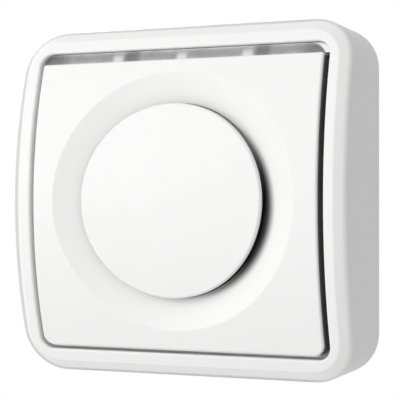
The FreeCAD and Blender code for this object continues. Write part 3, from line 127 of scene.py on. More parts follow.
def new_group(name, kind, inputs, outputs):
    """An empty node group with named sockets, and its two end nodes."""
    group = bpy.data.node_groups.new(name, kind)
    for label, socket, value in inputs:
        made = group.interface.new_socket(name=label, in_out="INPUT", socket_type=socket)
        if value is not None:
            made.default_value = value
    for label, socket in outputs:
        group.interface.new_socket(name=label, in_out="OUTPUT", socket_type=socket)
    return group, group.nodes.new("NodeGroupInput"), group.nodes.new("NodeGroupOutput")


print("helpers for trees:", add.__name__, new_group.__name__)

# %% [markdown]
# The light and many finishes are worked out with a few sums. Blender has one node for each
# sum. Each of these helpers makes such a node and gives back its answer, so that a line of the
# script reads like the sum it stands for.


# %% Helpers for sums in a tree
def number(tree, operation, *values):
    """The answer of a Math node."""
    return add(tree, "ShaderNodeMath", dict(enumerate(values)), operation=operation).outputs[0]


def ranged(tree, value, start=0.0, end=1.0, low=0.0, high=1.0, soft=False):
    """Goes from low to high while the value goes from start to end, gently where soft."""
    return add(tree, "ShaderNodeMapRange", {
        "Value": value, "From Min": start, "From Max": end, "To Min": low, "To Max": high},
        interpolation_type="SMOOTHSTEP" if soft else "LINEAR").outputs[0]


def largest(tree, *masks):
    """The largest of several masks."""
    total = masks[0]
    for mask in masks[1:]:
        total = number(tree, "MAXIMUM", total, mask)
    return total


print("helpers for sums:", number.__name__, ranged.__name__, largest.__name__)

# %% [markdown]
# The light is a plain soft studio. A real one has a tall white screen round the camera, and
# here the world is that screen: a dome that is bright in front of the siren, and above and
# below it, and dim beside and behind it. That sets the side of the case off from its front. To
# the camera, in reflections and through clear plastic the world is plain white instead, so that
# the white background adds no light.

# %% The world
bpy.context.scene.view_settings.view_transform = "Standard"
BEHIND, IN_FRONT = 0.12, 0.84
DIM_UP_TO, BRIGHT_FROM = 0.1, 0.7
TALL = 0.55
world = bpy.data.worlds.new("studio")
bpy.context.scene.world = world
world.use_nodes = True
tree = world.node_tree
tree.nodes.clear()
seen = add(tree, "ShaderNodeLightPath").outputs
white = largest(tree, seen["Is Camera Ray"], seen["Is Glossy Ray"], seen["Is Transmission Ray"])
way = add(tree, "ShaderNodeTexCoord").outputs["Generated"]
axes = add(tree, "ShaderNodeSeparateXYZ", {0: way}).outputs
tallness = number(tree, "MULTIPLY", number(tree, "ABSOLUTE", axes["Z"]), TALL)
frontness = number(tree, "SUBTRACT", tallness, axes["Y"])
dome = ranged(tree, frontness, DIM_UP_TO, BRIGHT_FROM, BEHIND, IN_FRONT, soft=True)
sky = add(tree, "ShaderNodeBackground", {
    "Color": (1, 1, 1, 1), "Strength": ranged(tree, white, low=dome, high=1.0)})
add(tree, "ShaderNodeOutputWorld", {"Surface": sky.outputs[0]})
print("the dome goes from", BEHIND, "behind to", IN_FRONT, "in front")

# %% [markdown]
# Two lamps add the shaping that a dome can't. One shines from the front left and a little
# above, and one from behind the left shoulder, where it keeps the back readable. Small lamps
# would draw hard shadows, so both are large squares, like the softboxes of a studio.


# %% The lamps
def soft_lamp(name, place, width, watts):
    """A square area lamp that faces the middle of the siren."""
    lamp = bpy.data.objects.new(name, bpy.data.lights.new(name, "AREA"))
    lamp.data.shape = "SQUARE"
    lamp.data.size = width
    lamp.data.energy = watts
    lamp.location = place
    lamp.rotation_mode = "QUATERNION"
    lamp.rotation_quaternion = (Vector(place) - AIM).to_track_quat("Z", "Y")
    bpy.context.scene.collection.objects.link(lamp)
    print(name, "at", place)


soft_lamp("key_lamp", place=(-1.12, -1.48, 0.42), width=1.3, watts=12.4)
soft_lamp("back_lamp", place=(-1.3, 1.3, 0.8), width=1.2, watts=20.0)

# %% [markdown]
# A pale floor lies well below, because this object hangs on a wall. It shows in the views from
# above and catches what shadow there is. Paper under soft light looks grey next to a white
# background, so the floor glows a little, for the camera alone.

# %% The floor
FLOOR_HEIGHT, FLOOR_HALF = -0.4, 1.2
FLOOR_TONE, FLOOR_GLOW = 0.86, 0.4
floor_mesh = bpy.data.meshes.new("floor")
corners = [(i * FLOOR_HALF, k * FLOOR_HALF, FLOOR_HEIGHT)
           for i, k in ((-1, -1), (1, -1), (1, 1), (-1, 1))]
floor_mesh.from_pydata(corners, [], [(0, 1, 2, 3)])
floor = bpy.data.objects.new("floor", floor_mesh)
bpy.context.scene.collection.objects.link(floor)
floor_finish = bpy.data.materials.new("floor_paper")
floor_finish.use_nodes = True
tree = floor_finish.node_tree
paper = tree.nodes["Principled BSDF"]
paper.inputs["Base Color"].default_value = (FLOOR_TONE, FLOOR_TONE, FLOOR_TONE, 1)
paper.inputs["Roughness"].default_value = 0.9
paper.inputs["Emission Color"].default_value = (1, 1, 1, 1)
seen = add(tree, "ShaderNodeLightPath").outputs
glow = number(tree, "MULTIPLY", seen["Is Camera Ray"], FLOOR_GLOW)
tree.links.new(glow, paper.inputs["Emission Strength"])
floor_mesh.materials.append(floor_finish)
print("the floor is", 2 * FLOOR_HALF, "m wide")

# %% [markdown]
# The finishes need three more helpers of this kind: a sum on all three axes of a place at once,
# a colour made darker or paler, and a cloudy noise, from which every grain and drift is made.

# %% Helpers for colours and patterns
NOISE_SPAN = (0.3, 0.7)


def vector(tree, operation, *values):
    """The answer of a Vector Math node that gives a vector."""
    return add(tree, "ShaderNodeVectorMath", dict(enumerate(values)),
               operation=operation).outputs[0]


def scaled(tree, colour, factor):
    """A colour multiplied by a number."""
    return add(tree, "ShaderNodeVectorMath", {0: colour, "Scale": factor},
               operation="SCALE").outputs[0]


def noise(tree, place, scale, detail):
    """A cloudy pattern, from 0 to 1."""
    return add(tree, "ShaderNodeTexNoise", {
        "Vector": place, "Scale": scale, "Detail": detail}).outputs[0]


print("most of a noise pattern lies between", *NOISE_SPAN)

# %% [markdown]
# Moulded plastic is never one flat colour. The mould gives it a fine spark-eroded grain, and
# the resin a slow drift of tone. A photographed texture would show its repeats, while noise has
# none. It depends only on the place on the surface, so one shader group holds it, and each
# plastic sets its own grain and drift.

# %% The group for moulded plastic
SKIN = [("Colour", COLOUR), ("Roughness", FLOAT), ("Height", FLOAT)]
moulded, given, result = new_group("Moulded skin", "ShaderNodeTree", [
    ("Colour", COLOUR, (0.9, 0.9, 0.9, 1)), ("Drift", FLOAT, 0.02),
    ("Grain scale", FLOAT, 2500.0), ("Roughness", FLOAT, 0.4), ("Roughness spread", FLOAT, 0.06),
], SKIN)
wanted = given.outputs
place = add(moulded, "ShaderNodeTexCoord").outputs["Object"]
slow = noise(moulded, place, scale=22.0, detail=2.0)
drift = ranged(moulded, slow, *NOISE_SPAN, high=wanted["Drift"])
grain = noise(moulded, place, wanted["Grain scale"], detail=3.0)
patches = noise(moulded, place, scale=90.0, detail=4.0)
for name, socket in (
        ("Colour", scaled(moulded, wanted["Colour"], number(moulded, "SUBTRACT", 1.0, drift))),
        ("Roughness", number(moulded, "MULTIPLY_ADD", patches, wanted["Roughness spread"],
                             wanted["Roughness"])),
        ("Height", grain)):
    moulded.links.new(socket, result.inputs[name])
print("nodes in the moulded skin:", len(moulded.nodes))

# %% [markdown]
# Drawn and rolled metal shows fine streaks along one direction. They could be cut into the
# mesh, but they are far too fine for that. A noise pattern that is squeezed across that
# direction and stretched along it gives them, for the screws, contacts and cans alike.

# %% The group for drawn metal
STREAK_ROUGHNESS = 0.2
drawn, given, result = new_group("Drawn metal", "ShaderNodeTree", [
    ("Colour", COLOUR, (0.6, 0.6, 0.6, 1)), ("Stretch", VECTOR, (1, 1, 1)),
    ("Roughness", FLOAT, 0.25), ("Tarnish", FLOAT, 0.15),
], SKIN)
wanted = given.outputs
place = add(drawn, "ShaderNodeTexCoord").outputs["Object"]
streaks = noise(drawn, vector(drawn, "MULTIPLY", place, wanted["Stretch"]),
                scale=900.0, detail=4.0)
blotches = noise(drawn, place, scale=260.0, detail=3.0)
dulled = number(drawn, "SUBTRACT", 1.0, number(drawn, "MULTIPLY", blotches, wanted["Tarnish"]))
for name, socket in (
        ("Colour", scaled(drawn, wanted["Colour"], dulled)),
        ("Roughness", number(drawn, "MULTIPLY_ADD", streaks, STREAK_ROUGHNESS,
                             wanted["Roughness"])),
        ("Height", streaks)):
    drawn.links.new(socket, result.inputs[name])
print("nodes in the drawn metal:", len(drawn.nodes))

# %% [markdown]
# A finish is a material whose Principled shader takes its colour, roughness and bump from one
# of these groups. Numbers that are the same all over stay on the shader's own sockets.

# %% Helpers for finishes
GRAIN_HEIGHT = 0.1 * MM


def finish(name, group, values, bump=0.0, **own_sockets):
    """A material that reads one of the groups."""
    made = bpy.data.materials.new(name)
    made.use_nodes = True
    tree = made.node_tree
    shader = tree.nodes["Principled BSDF"]
    skin = add(tree, "ShaderNodeGroup", values, node_tree=group).outputs
    tree.links.new(skin["Colour"], shader.inputs["Base Color"])
    tree.links.new(skin["Roughness"], shader.inputs["Roughness"])
    if bump:
        relief = add(tree, "ShaderNodeBump", {
            "Height": skin["Height"], "Strength": bump, "Distance": GRAIN_HEIGHT})
        tree.links.new(relief.outputs[0], shader.inputs["Normal"])
    for key, value in own_sockets.items():
        shader.inputs[key.replace("_", " ")].default_value = value
    return made


def plastic(name, colour, roughness=0.4, bump=0.15, drift=0.02, grain=2500.0, **own_sockets):
    """A moulded plastic."""
    values = {"Colour": (*colour, 1), "Roughness": roughness, "Drift": drift,
              "Grain scale": grain}
    return finish(name, moulded, values, bump, **own_sockets)


def metal(name, colour, roughness=0.25, stretch=(1, 1, 8), tarnish=0.15, bump=0.05):
    """A drawn or rolled metal. Its streaks run across the axis with the largest stretch."""
    values = {"Colour": (*colour, 1), "Roughness": roughness, "Stretch": stretch,
              "Tarnish": tarnish}
    return finish(name, drawn, values, bump, Metallic=1.0)


print("a finish's grain is up to", GRAIN_HEIGHT / MM, "mm high")

# %% [markdown]
# The case, the panel and the disc are one white ABS with a satin skin. The bracket is nearly the
# same white with a coarser grain, since nobody sees it once the siren hangs. Everything inside
# takes the plain colours that such pieces are made in. A finish has the name of the material
# slot that the CAD model gives to its pieces.

# %% The finishes by material slot
CASE_LOOK = dict(colour=(0.90, 0.90, 0.895), roughness=0.36, bump=0.1, drift=0.012,
                 Specular_IOR_Level=0.35)
HORN_COLOUR = (0.035, 0.035, 0.036)
PLASTICS = {
    "case_white": CASE_LOOK,
    "bracket_white": dict(colour=(0.84, 0.84, 0.83), roughness=0.5, bump=0.35, grain=1400.0),
    "horn_plastic": dict(colour=HORN_COLOUR, roughness=0.5, bump=0.2),
    "reflector_white": dict(colour=(0.88, 0.88, 0.88), roughness=0.15, bump=0.0),
    "chip_black": dict(colour=(0.02, 0.02, 0.022), roughness=0.45, bump=0.3, grain=4000.0),
    "switch_grey": dict(colour=(0.06, 0.06, 0.065)),
    "cell_jacket": dict(colour=(0.03, 0.035, 0.045), roughness=0.22, bump=0.0, drift=0.1),
    "capacitor_sleeve": dict(colour=(0.02, 0.03, 0.07), roughness=0.25, bump=0.0, drift=0.1),
    "lamp_epoxy": dict(colour=(0.82, 0.82, 0.72), roughness=0.08, bump=0.0, Coat_Weight=0.5),
    "gasket_rubber": dict(colour=(0.025, 0.025, 0.025), roughness=0.8, bump=0.5, grain=1800.0),
    "button_grey": dict(colour=(0.42, 0.42, 0.43), roughness=0.3),
}
METALS = {
    "steel_screw": dict(colour=(0.62, 0.62, 0.60), roughness=0.2),
    "shield_tin": dict(colour=(0.66, 0.66, 0.65), roughness=0.28, stretch=(8, 1, 1)),
    "contact_nickel": dict(colour=(0.68, 0.66, 0.61), roughness=0.22, stretch=(1, 1, 6)),
    "copper_wire": dict(colour=(0.75, 0.38, 0.20)),
    "piezo_brass": dict(colour=(0.78, 0.60, 0.28), roughness=0.3),
    "spring_steel": dict(colour=(0.55, 0.55, 0.56), roughness=0.2),
}
finishes = {name: plastic(name, **look) for name, look in PLASTICS.items()}
finishes.update((name, metal(name, **look)) for name, look in METALS.items())
print("finishes:", len(finishes))

# %% [markdown]
# Some marks belong to one place on the siren, such as a shade or a pale block. Splitting the
# meshes there would change the CAD pieces, so the finish itself works out where it is. These
# helpers open a finish, read the place, measure it, and mix a second colour in.


# %% Helpers for marks on a piece
def opened(material):
    """A finish's tree, its shader, and the colour that feeds the shader."""
    shader = material.node_tree.nodes["Principled BSDF"]
    return material.node_tree, shader, shader.inputs["Base Color"].links[0].from_socket


def places(tree):
    """The place on the piece, as one vector and as its X, Y and Z."""
    place = add(tree, "ShaderNodeTexCoord").outputs["Object"]
    return place, add(tree, "ShaderNodeSeparateXYZ", {0: place}).outputs


def measure(tree, operation, *values):
    """The answer of a Vector Math node that gives a number, such as a length."""
    return add(tree, "ShaderNodeVectorMath", dict(enumerate(values)),
               operation=operation).outputs["Value"]


def mixed(tree, mask, plain, marked):
    """One colour where the mask is 0, another where it is 1. A Mix node's colours are its
    sockets 6 and 7, after those for numbers and vectors, and its mixed colour is output 2."""
    return add(tree, "ShaderNodeMix", {0: mask, 6: plain, 7: marked}, data_type="RGBA").outputs[2]


print("helpers for marks:", opened.__name__, places.__name__, measure.__name__, mixed.__name__)

# %% [markdown]
# The siren is seen from the front, so its marks are measured in X and Z alone. Two of them
# follow rounded squares, the case and the slot's frame, and the distance from the centre of the
# nearest corner tells how near to such an outline a place is. Others have to follow the front,
# which bulges in an arc of large radius from the head to the foot.

# %% Helpers for the shape of the front
IN_FRONT_VIEW = (1, 0, 1)
BULGE = 178.5 * MM


def from_corner(tree, place, middle, half, corner):
    """The distance to the centre of the nearest corner of a rounded square round the middle."""
    outward = vector(tree, "ABSOLUTE", vector(tree, "SUBTRACT", place, middle))
    beyond = vector(tree, "SUBTRACT", outward, half - Vector((corner, 0, corner)))
    flat = vector(tree, "MULTIPLY", beyond, IN_FRONT_VIEW)
    return measure(tree, "LENGTH", vector(tree, "MAXIMUM", flat, (0, 0, 0)))


def fall_of_bulge(tree, axes):
    """How far the bulge falls back at each height, near enough z squared over two radii."""
    return number(tree, "MULTIPLY", number(tree, "POWER", axes["Z"], 2.0), 1 / (2 * BULGE))


print("the front bulges with a radius of", BULGE / MM, "mm")

# %% [markdown]
# A white case against white paper needs an edge to be seen by. In the studio the rounding from
# its face to its walls catches less light, on the left, the top and the foot. The case's finish
# paints that shade on. It works out how far each place lies from the centre of the nearest corner
# and how near to the bulging front, and darkens the outermost millimetre or two of the rounding
# with painted shade, and the walls behind it half as much. The left needs the widest band, so the
# middle of the outline is moved to the right. The right side needs none, since the light leaves
# its wall dim.

# %% The painted shade on the case's edge
CASE_HALF, CASE_CORNER = Vector((71, 0, 70.6)) * MM, 17 * MM
OUTLINE_MIDDLE = Vector((1.3, 0, 0)) * MM
EDGE_START, EDGE_FULL = CASE_CORNER - 2.3 * MM, CASE_CORNER - 1.3 * MM
LEFT_START, LEFT_FULL = 66 * MM, 50 * MM
WALL_DEPTH, FACE_DEPTH = 39 * MM, 44 * MM
WALL_SHARE, EDGE_SHADE_TONE = 0.5, 0.72
tree, shader, clean = opened(finishes["case_white"])
place, axes = places(tree)
reach = from_corner(tree, place, OUTLINE_MIDDLE, CASE_HALF, CASE_CORNER)
outermost = ranged(tree, reach, EDGE_START, EDGE_FULL, soft=True)
leftward = ranged(tree, axes["X"], LEFT_START, LEFT_FULL, soft=True)
depth = number(tree, "SUBTRACT", fall_of_bulge(tree, axes), axes["Y"])
forward = ranged(tree, depth, WALL_DEPTH, FACE_DEPTH, low=WALL_SHARE, soft=True)
# Painted shade on the outermost rounding, and half as much on the walls behind it.
edge = number(tree, "MULTIPLY", number(tree, "MULTIPLY", outermost, leftward), forward)
edged = scaled(tree, clean, ranged(tree, edge, low=1.0, high=EDGE_SHADE_TONE))
tree.links.new(edged, shader.inputs["Base Color"])
print("the case's edge has", EDGE_SHADE_TONE, "of its tone")

# %% [markdown]
# The disc stands a few millimetres in front of the dish, so its shade hugs it: a round as large
# as the disc, shifted away from the lamp, with a soft edge. The lamp is too broad to draw that
# shade as deep as it looks in life, so the panel's finish deepens it with painted shade. It is
# the case's plastic with its colour multiplied by a mask of the distance from the shifted centre.
# The bore behind the dish keeps its white, and the mouth of the bore bends with the bulge of the
# front.

# %% The panel's finish, with the disc's painted shade
SHADE_SHIFT = Vector((6.1, 0, -1.9)) * MM
SHADE_CORE, SHADE_END = 32.8 * MM, 37.4 * MM
SHADE_TONE = 0.07
BORE_MOUTH = -44.95 * MM
panel_white = plastic("panel_white", **CASE_LOOK)
tree, shader, clean = opened(panel_white)
place, axes = places(tree)
aside = vector(tree, "MULTIPLY", vector(tree, "SUBTRACT", place, SHADE_SHIFT), IN_FRONT_VIEW)
# Painted shade: the dish is darkened inside a round shifted away from the lamp.
lit = ranged(tree, measure(tree, "LENGTH", aside), SHADE_CORE, SHADE_END, low=SHADE_TONE,
             soft=True)
mouth = number(tree, "ADD", fall_of_bulge(tree, axes), BORE_MOUTH)
in_bore = number(tree, "GREATER_THAN", axes["Y"], mouth)
shaded = scaled(tree, clean, largest(tree, lit, in_bore))
tree.links.new(shaded, shader.inputs["Base Color"])
print("the disc's shade is shifted by", tuple(round(v / MM, 1) for v in SHADE_SHIFT), "mm")

# %% [markdown]
# Through the slit round the disc one looks at the flange of the black horn. At the top and the
# left daylight reaches it and it looks pale, at the right and below it stays black. The soft
# light of this studio hardly reaches into so narrow a slit, so that light is painted on: the
# finish goes from black to pale along one slanted direction, and only on the flange.

# %% The horn's finish, with painted light on its flange
SLANT = math.radians(-20)
SLANTED = (math.cos(SLANT), 0, math.sin(SLANT))
FLANGE = 34 * MM
DARK_FROM, PALE_FROM = 33 * MM, 16 * MM
PAINTED_LIGHT_COLOUR = (0.9, 0.9, 0.895, 1)
horn_black = plastic("horn_black", HORN_COLOUR, bump=0.0)
tree, shader, black = opened(horn_black)
place, axes = places(tree)
flat = vector(tree, "MULTIPLY", place, IN_FRONT_VIEW)
on_flange = number(tree, "GREATER_THAN", measure(tree, "LENGTH", flat), FLANGE)
# Painted light: the flange turns pale towards the top and the left.
painted_daylight = ranged(tree, measure(tree, "DOT_PRODUCT", flat, SLANTED), DARK_FROM, PALE_FROM,
                soft=True)
painted_light_part = number(tree, "MULTIPLY", painted_daylight, on_flange)
tree.links.new(mixed(tree, painted_light_part, black, PAINTED_LIGHT_COLOUR), shader.inputs["Base Color"])
print("the flange begins", FLANGE / MM, "mm from the horn's middle")

# %% [markdown]
# The strip in the gap round the panel is painted dark down the right side, where the gap lies in
# shade: painted shade. Its other two runs are pale, like the case, and so is the light gap beside
# them. The two could be two pieces, but the strip is one moulding, so its tone changes along X
# instead.

# %% The strip's finish, with painted shade down the right
PALE_UP_TO, GAP_SHADE_FROM = 56 * MM, 59.6 * MM
PALE, GAP_SHADE = (0.88, 0.88, 0.88, 1), (0.045, 0.045, 0.045, 1)
gasket_strip = plastic("gasket_strip", GAP_SHADE[:3], bump=0.0, grain=1800.0)
tree = gasket_strip.node_tree
shader = tree.nodes["Principled BSDF"]
place, axes = places(tree)
# Painted shade: the strip turns dark down the right side, where the gap lies in shade.
right = ranged(tree, axes["X"], PALE_UP_TO, GAP_SHADE_FROM, soft=True)
tree.links.new(mixed(tree, right, PALE, GAP_SHADE), shader.inputs["Base Color"])
print("the strip is dark from", GAP_SHADE_FROM / MM, "mm to the right")

# %% [markdown]
# The light window in the slot is a frosted strip. Three clear guides stand behind it, and each
# shows as a paler block. Right of the outer two is a darker patch, where the guide hides the
# reflector, and the strip darkens towards both its ends. Modelling the light inside would take
# many samples and stay noisy, so each effect is painted on: a mask for each is worked out along
# X, pale for painted light and dark for painted shade.

# %% The painted light and shade along the window
GUIDE_STEP = 28 * MM
GUIDE = dict(half=1.0 * MM, fade=2.2 * MM)
PATCH_ASIDE, PATCH = 6.3 * MM, dict(half=1.3 * MM, fade=3.6 * MM)
DARK_END, END_PATCH = 57 * MM, dict(half=1 * MM, fade=9 * MM)
window = bpy.data.materials.new("lens_clear")
window.use_nodes = True
tree = window.node_tree
shader = tree.nodes["Principled BSDF"]
place, axes = places(tree)


def band(centre, half, fade):
    """A soft mask that is 1 near one place along X."""
    away = number(tree, "ABSOLUTE", number(tree, "SUBTRACT", axes["X"], centre))
    return ranged(tree, away, half, half + fade, 1.0, 0.0, soft=True)


guides = [n * GUIDE_STEP for n in (-1, 0, 1)]
# Painted light on the guides, and painted shade in the patches and towards the ends.
pale = largest(tree, *(band(x, **GUIDE) for x in guides))
dark = largest(tree, *(band(x + PATCH_ASIDE, **PATCH) for x in (guides[0], guides[-1])),
               *(band(x, **END_PATCH) for x in (-DARK_END, DARK_END)))
print("guides at", [round(x / MM) for x in guides], "mm")

# %% [markdown]
# Up the window the tone changes too, as painted light and shade. Its foot is painted lighter for
# the light it takes from the panel, the middle is painted darkest as shade, and the top edge is
# painted as pale as the frame above it. Two ramps hold that, one for the strip and one for the
# paler blocks. Only the upper part of the window shows in the slot, so the ramps cover that part.

# %% The painted light and shade up the window
VISIBLE_HEIGHT = 4.2 * MM
STRIP_TONES = ((0.0, 0.50), (0.2, 0.36), (0.5, 0.33), (0.74, 0.38), (0.86, 0.55), (1.0, 0.95))
BLOCK_TONES = ((0.0, 0.76), (0.3, 0.70), (0.55, 0.60), (0.72, 0.48), (0.85, 0.52), (1.0, 0.95))
DARK_TONE = 0.55
FLECK_TONES = (0.85, 1.12)
low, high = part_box("strobe_lens")
upward = ranged(tree, axes["Z"], high.z - VISIBLE_HEIGHT, high.z)


def tones(stops):
    """A grey ramp up the window, through (place, tone) stops."""
    ramp = add(tree, "ShaderNodeValToRGB", {"Fac": upward})
    while len(ramp.color_ramp.elements) < len(stops):
        ramp.color_ramp.elements.new(0.5)
    for element, (position, tone) in zip(ramp.color_ramp.elements, stops):
        element.position = position
        element.color = (tone, tone, tone, 1)
    return ramp.outputs["Color"]


mottle = noise(tree, place, scale=190.0, detail=3.0)
flecks = ranged(tree, mottle, *NOISE_SPAN, *FLECK_TONES)
dimmed = ranged(tree, dark, low=1.0, high=DARK_TONE)
# The strip's ramp of painted light and shade, mixed with the guides' painted light.
strip_tone = scaled(tree, tones(STRIP_TONES), number(tree, "MULTIPLY", flecks, dimmed))
window_with_painted_light = mixed(tree, pale, strip_tone, tones(BLOCK_TONES))
print("the window's strip is", round((high.x - low.x) / MM, 1), "mm long")

# %% [markdown]
# The slot's ends are rounded, and there the strip passes behind the pale frame. A mask of the
# distance from the corner's centre, as on the case, gives the strip its pale round ends.

# %% The ends of the window
FRAME_HALF, END_ROUND = Vector((62.3, 0, 60.65)) * MM, 7.4 * MM
FRAME_MIDDLE = Vector((-1.6, 0, 0)) * MM
FRAME_START, FRAME_FULL = END_ROUND - 0.7 * MM, END_ROUND + 0.1 * MM
FRAME_COLOUR = (0.92, 0.92, 0.92, 1)
reach = from_corner(tree, place, FRAME_MIDDLE, FRAME_HALF, END_ROUND)
at_end = ranged(tree, reach, FRAME_START, FRAME_FULL, soft=True)
tree.links.new(mixed(tree, at_end, window_with_painted_light, FRAME_COLOUR), shader.inputs["Base Color"])
shader.inputs["Roughness"].default_value = 0.3
finishes["lens_clear"] = window
print("the window's ends are rounded by", END_ROUND / MM, "mm")

# %% [markdown]
# A circuit board is a green lacquer over copper. The copper stands slightly proud, so its
# tracks show as paler lines under the lacquer. Drawing each track would take a plan of the
# circuit. The thin joints of a brick pattern with long flat bricks give a believable run of
# them, and the middles of a cell pattern give the tinned holes that join the two sides.

# %% The board's lacquer
LACQUER, LACQUER_DEEP = (0.012, 0.085, 0.035, 1), (0.010, 0.070, 0.030, 1)
OVER_COPPER, TIN = (0.02, 0.12, 0.05, 1), (0.55, 0.55, 0.53, 1)
HOLE_EDGE, HOLE_FULL = 0.11, 0.08
COPPER_HEIGHT = 0.05 * MM
board = bpy.data.materials.new("board_green")
board.use_nodes = True
tree = board.node_tree
shader = tree.nodes["Principled BSDF"]
place, axes = places(tree)
upright = add(tree, "ShaderNodeMapping", {"Vector": place, "Rotation": (math.pi / 2, 0, 0)})
tracks = add(tree, "ShaderNodeTexBrick", {
    "Vector": upright.outputs[0], "Color1": LACQUER, "Color2": LACQUER_DEEP,
    "Mortar": OVER_COPPER, "Scale": 160.0, "Mortar Size": 0.03, "Brick Width": 3.1,
    "Row Height": 0.27}, offset=0.37, squash=0.6, squash_frequency=3).outputs
holes = add(tree, "ShaderNodeTexVoronoi", {"Vector": place, "Scale": 190.0}).outputs
tinned = ranged(tree, holes["Distance"], HOLE_EDGE, HOLE_FULL)
tree.links.new(mixed(tree, tinned, tracks["Color"], TIN), shader.inputs["Base Color"])
relief = add(tree, "ShaderNodeBump", {
    "Height": tracks["Fac"], "Strength": 0.2, "Distance": COPPER_HEIGHT})
tree.links.new(relief.outputs[0], shader.inputs["Normal"])
shader.inputs["Roughness"].default_value = 0.25
finishes["board_green"] = board
print("nodes in the board's finish:", len(tree.nodes))

# %% [markdown]
# A dry cell's printed jacket stops short of its ends, where the bare steel of the can shows. A
# second piece for the ends would have to fit each cell, while a mask fits them all. The cells
# lie along X, two in a row, so the distance from the middle of a cell tells the ends.

# %% The jacket of the cells
END_BAND = 2.2 * MM
CAN_STEEL = (0.66, 0.65, 0.62, 1)
low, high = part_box("battery_cell_1")
inner, outer = sorted((abs(low.x), abs(high.x)))
tree, shader, jacket = opened(finishes["cell_jacket"])
place, axes = places(tree)
along = number(tree, "ABSOLUTE", axes["X"])
away = number(tree, "ABSOLUTE", number(tree, "SUBTRACT", along, (inner + outer) / 2))
bare = number(tree, "GREATER_THAN", away, (outer - inner) / 2 - END_BAND)
tree.links.new(mixed(tree, bare, jacket, CAN_STEEL), shader.inputs["Base Color"])
tree.links.new(bare, shader.inputs["Metallic"])
print("a cell is", round((outer - inner) / MM, 1), "mm long")

# %% [markdown]
# Every CAD piece names its material slot in the record, so a loop can dress them all. Three
# pieces at the front have a finish of their own, with painted light and shade, because light
# falls on them in a way of its own.

# %% Give each CAD piece its finish
own_finish = {"front_panel": panel_white, "panel_seal": gasket_strip, "sounder_horn": horn_black}
for name, node in nodes.items():
    node.data.materials.clear()
    node.data.materials.append(own_finish.get(name, finishes[slot_of[name]]))
print("dressed:", len(nodes))

# %% [markdown]
# Some details repeat, or follow a rule, and Geometry Nodes make those. Each tree stands one
# shape on every point of a plain mesh, has named inputs for the shape's sizes, and ends in
# Realize Instances and Set Material. The shapes differ and the rest is the same, so one helper
# builds every tree, and takes the shape as a function.


# %% A helper that builds a tree
def standing_on_points(name, sizes, shape):
    """A tree that stands one shape on each point, turned by Turn."""
    tree, given, result = new_group(name, "GeometryNodeTree", [
        ("Geometry", GEOMETRY, None), *sizes, ("Turn", VECTOR, (0, 0, 0)),
        ("Material", MATERIAL, None)], [("Geometry", GEOMETRY)])
    placed = add(tree, "GeometryNodeInstanceOnPoints", {
        "Points": given.outputs["Geometry"], "Instance": shape(tree, given.outputs),
        "Rotation": given.outputs["Turn"]})
    plain = add(tree, "GeometryNodeRealizeInstances", {"Geometry": placed.outputs[0]})
    coated = add(tree, "GeometryNodeSetMaterial", {
        "Geometry": plain.outputs[0], "Material": given.outputs["Material"]})
    tree.links.new(coated.outputs[0], result.inputs[0])
    print(name, "has", len(tree.nodes), "nodes")
    return tree


# %% [markdown]
# The helper below runs a tree on its points, turns the result into a mesh of its own and drops
# the modifier, because a finished piece keeps no live modifier.

# %% A helper that runs a tree
TOWARDS_FRONT, TOWARDS_BACK = (math.pi / 2, 0, 0), (-math.pi / 2, 0, 0)


def grown(name, tree, points, body, slot, **sizes):
    """A mesh grown by a geometry tree from points, riding on a body."""
    seed = bpy.data.meshes.new(name + "_points")
    seed.from_pydata([tuple(p) for p in points], [], [])
    holder = bpy.data.objects.new(name + "_holder", seed)
    bpy.context.scene.collection.objects.link(holder)
    modifier = holder.modifiers.new("grow", "NODES")
    modifier.node_group = tree
    sizes["Material"] = finishes[slot]
    for item in tree.interface.items_tree:
        if item.in_out == "INPUT" and item.name.replace(" ", "_") in sizes:
            modifier[item.identifier] = sizes[item.name.replace(" ", "_")]
    bpy.context.view_layer.update()
    evaluated = holder.evaluated_get(bpy.context.evaluated_depsgraph_get())
    mesh = bpy.data.meshes.new_from_object(evaluated)
    mesh.name = name
    piece = bpy.data.objects.new(name, mesh)
    bpy.context.scene.collection.objects.link(piece)
    bpy.data.objects.remove(holder)
    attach(piece, body)
    print(name, len(mesh.polygons), "faces")
    return piece


# %% [markdown]
# Two pieces of the siren are wound from thin wire: the tamper spring and the choke's winding.
# A stack of rings would look alike from afar, but a spiral curve with a round profile is the
# real shape, where the CAD model keeps only a coarse one, or none.

# %% The tree for wound wire
STEPS_PER_TURN, WIRE_SIDES = 24, 10


def wire(tree, sizes):
    """A round wire wound into a coil along Z."""
    spiral = add(tree, "GeometryNodeCurveSpiral", {
        "Resolution": STEPS_PER_TURN, "Rotations": sizes["Turns"],
        "Start Radius": sizes["Coil radius"], "End Radius": sizes["Coil radius"],
        "Height": sizes["Length"]})
    section = add(tree, "GeometryNodeCurvePrimitiveCircle", {
        "Resolution": WIRE_SIDES, "Radius": sizes["Wire radius"]})
    tube = add(tree, "GeometryNodeCurveToMesh", {
        "Curve": spiral.outputs[0], "Profile Curve": section.outputs[0], "Fill Caps": True})
    return add(tree, "GeometryNodeSetShadeSmooth", {"Geometry": tube.outputs[0]}).outputs[0]


wound = standing_on_points("Wound wire", [
    ("Turns", FLOAT, 5.0), ("Coil radius", FLOAT, 0.002), ("Length", FLOAT, 0.01),
    ("Wire radius", FLOAT, 0.0003)], wire)

# %% [markdown]
# The tamper spring pushes the plunger out. Its coil fills the box of the CAD model's spring
# from end to end, so it takes that piece's place.

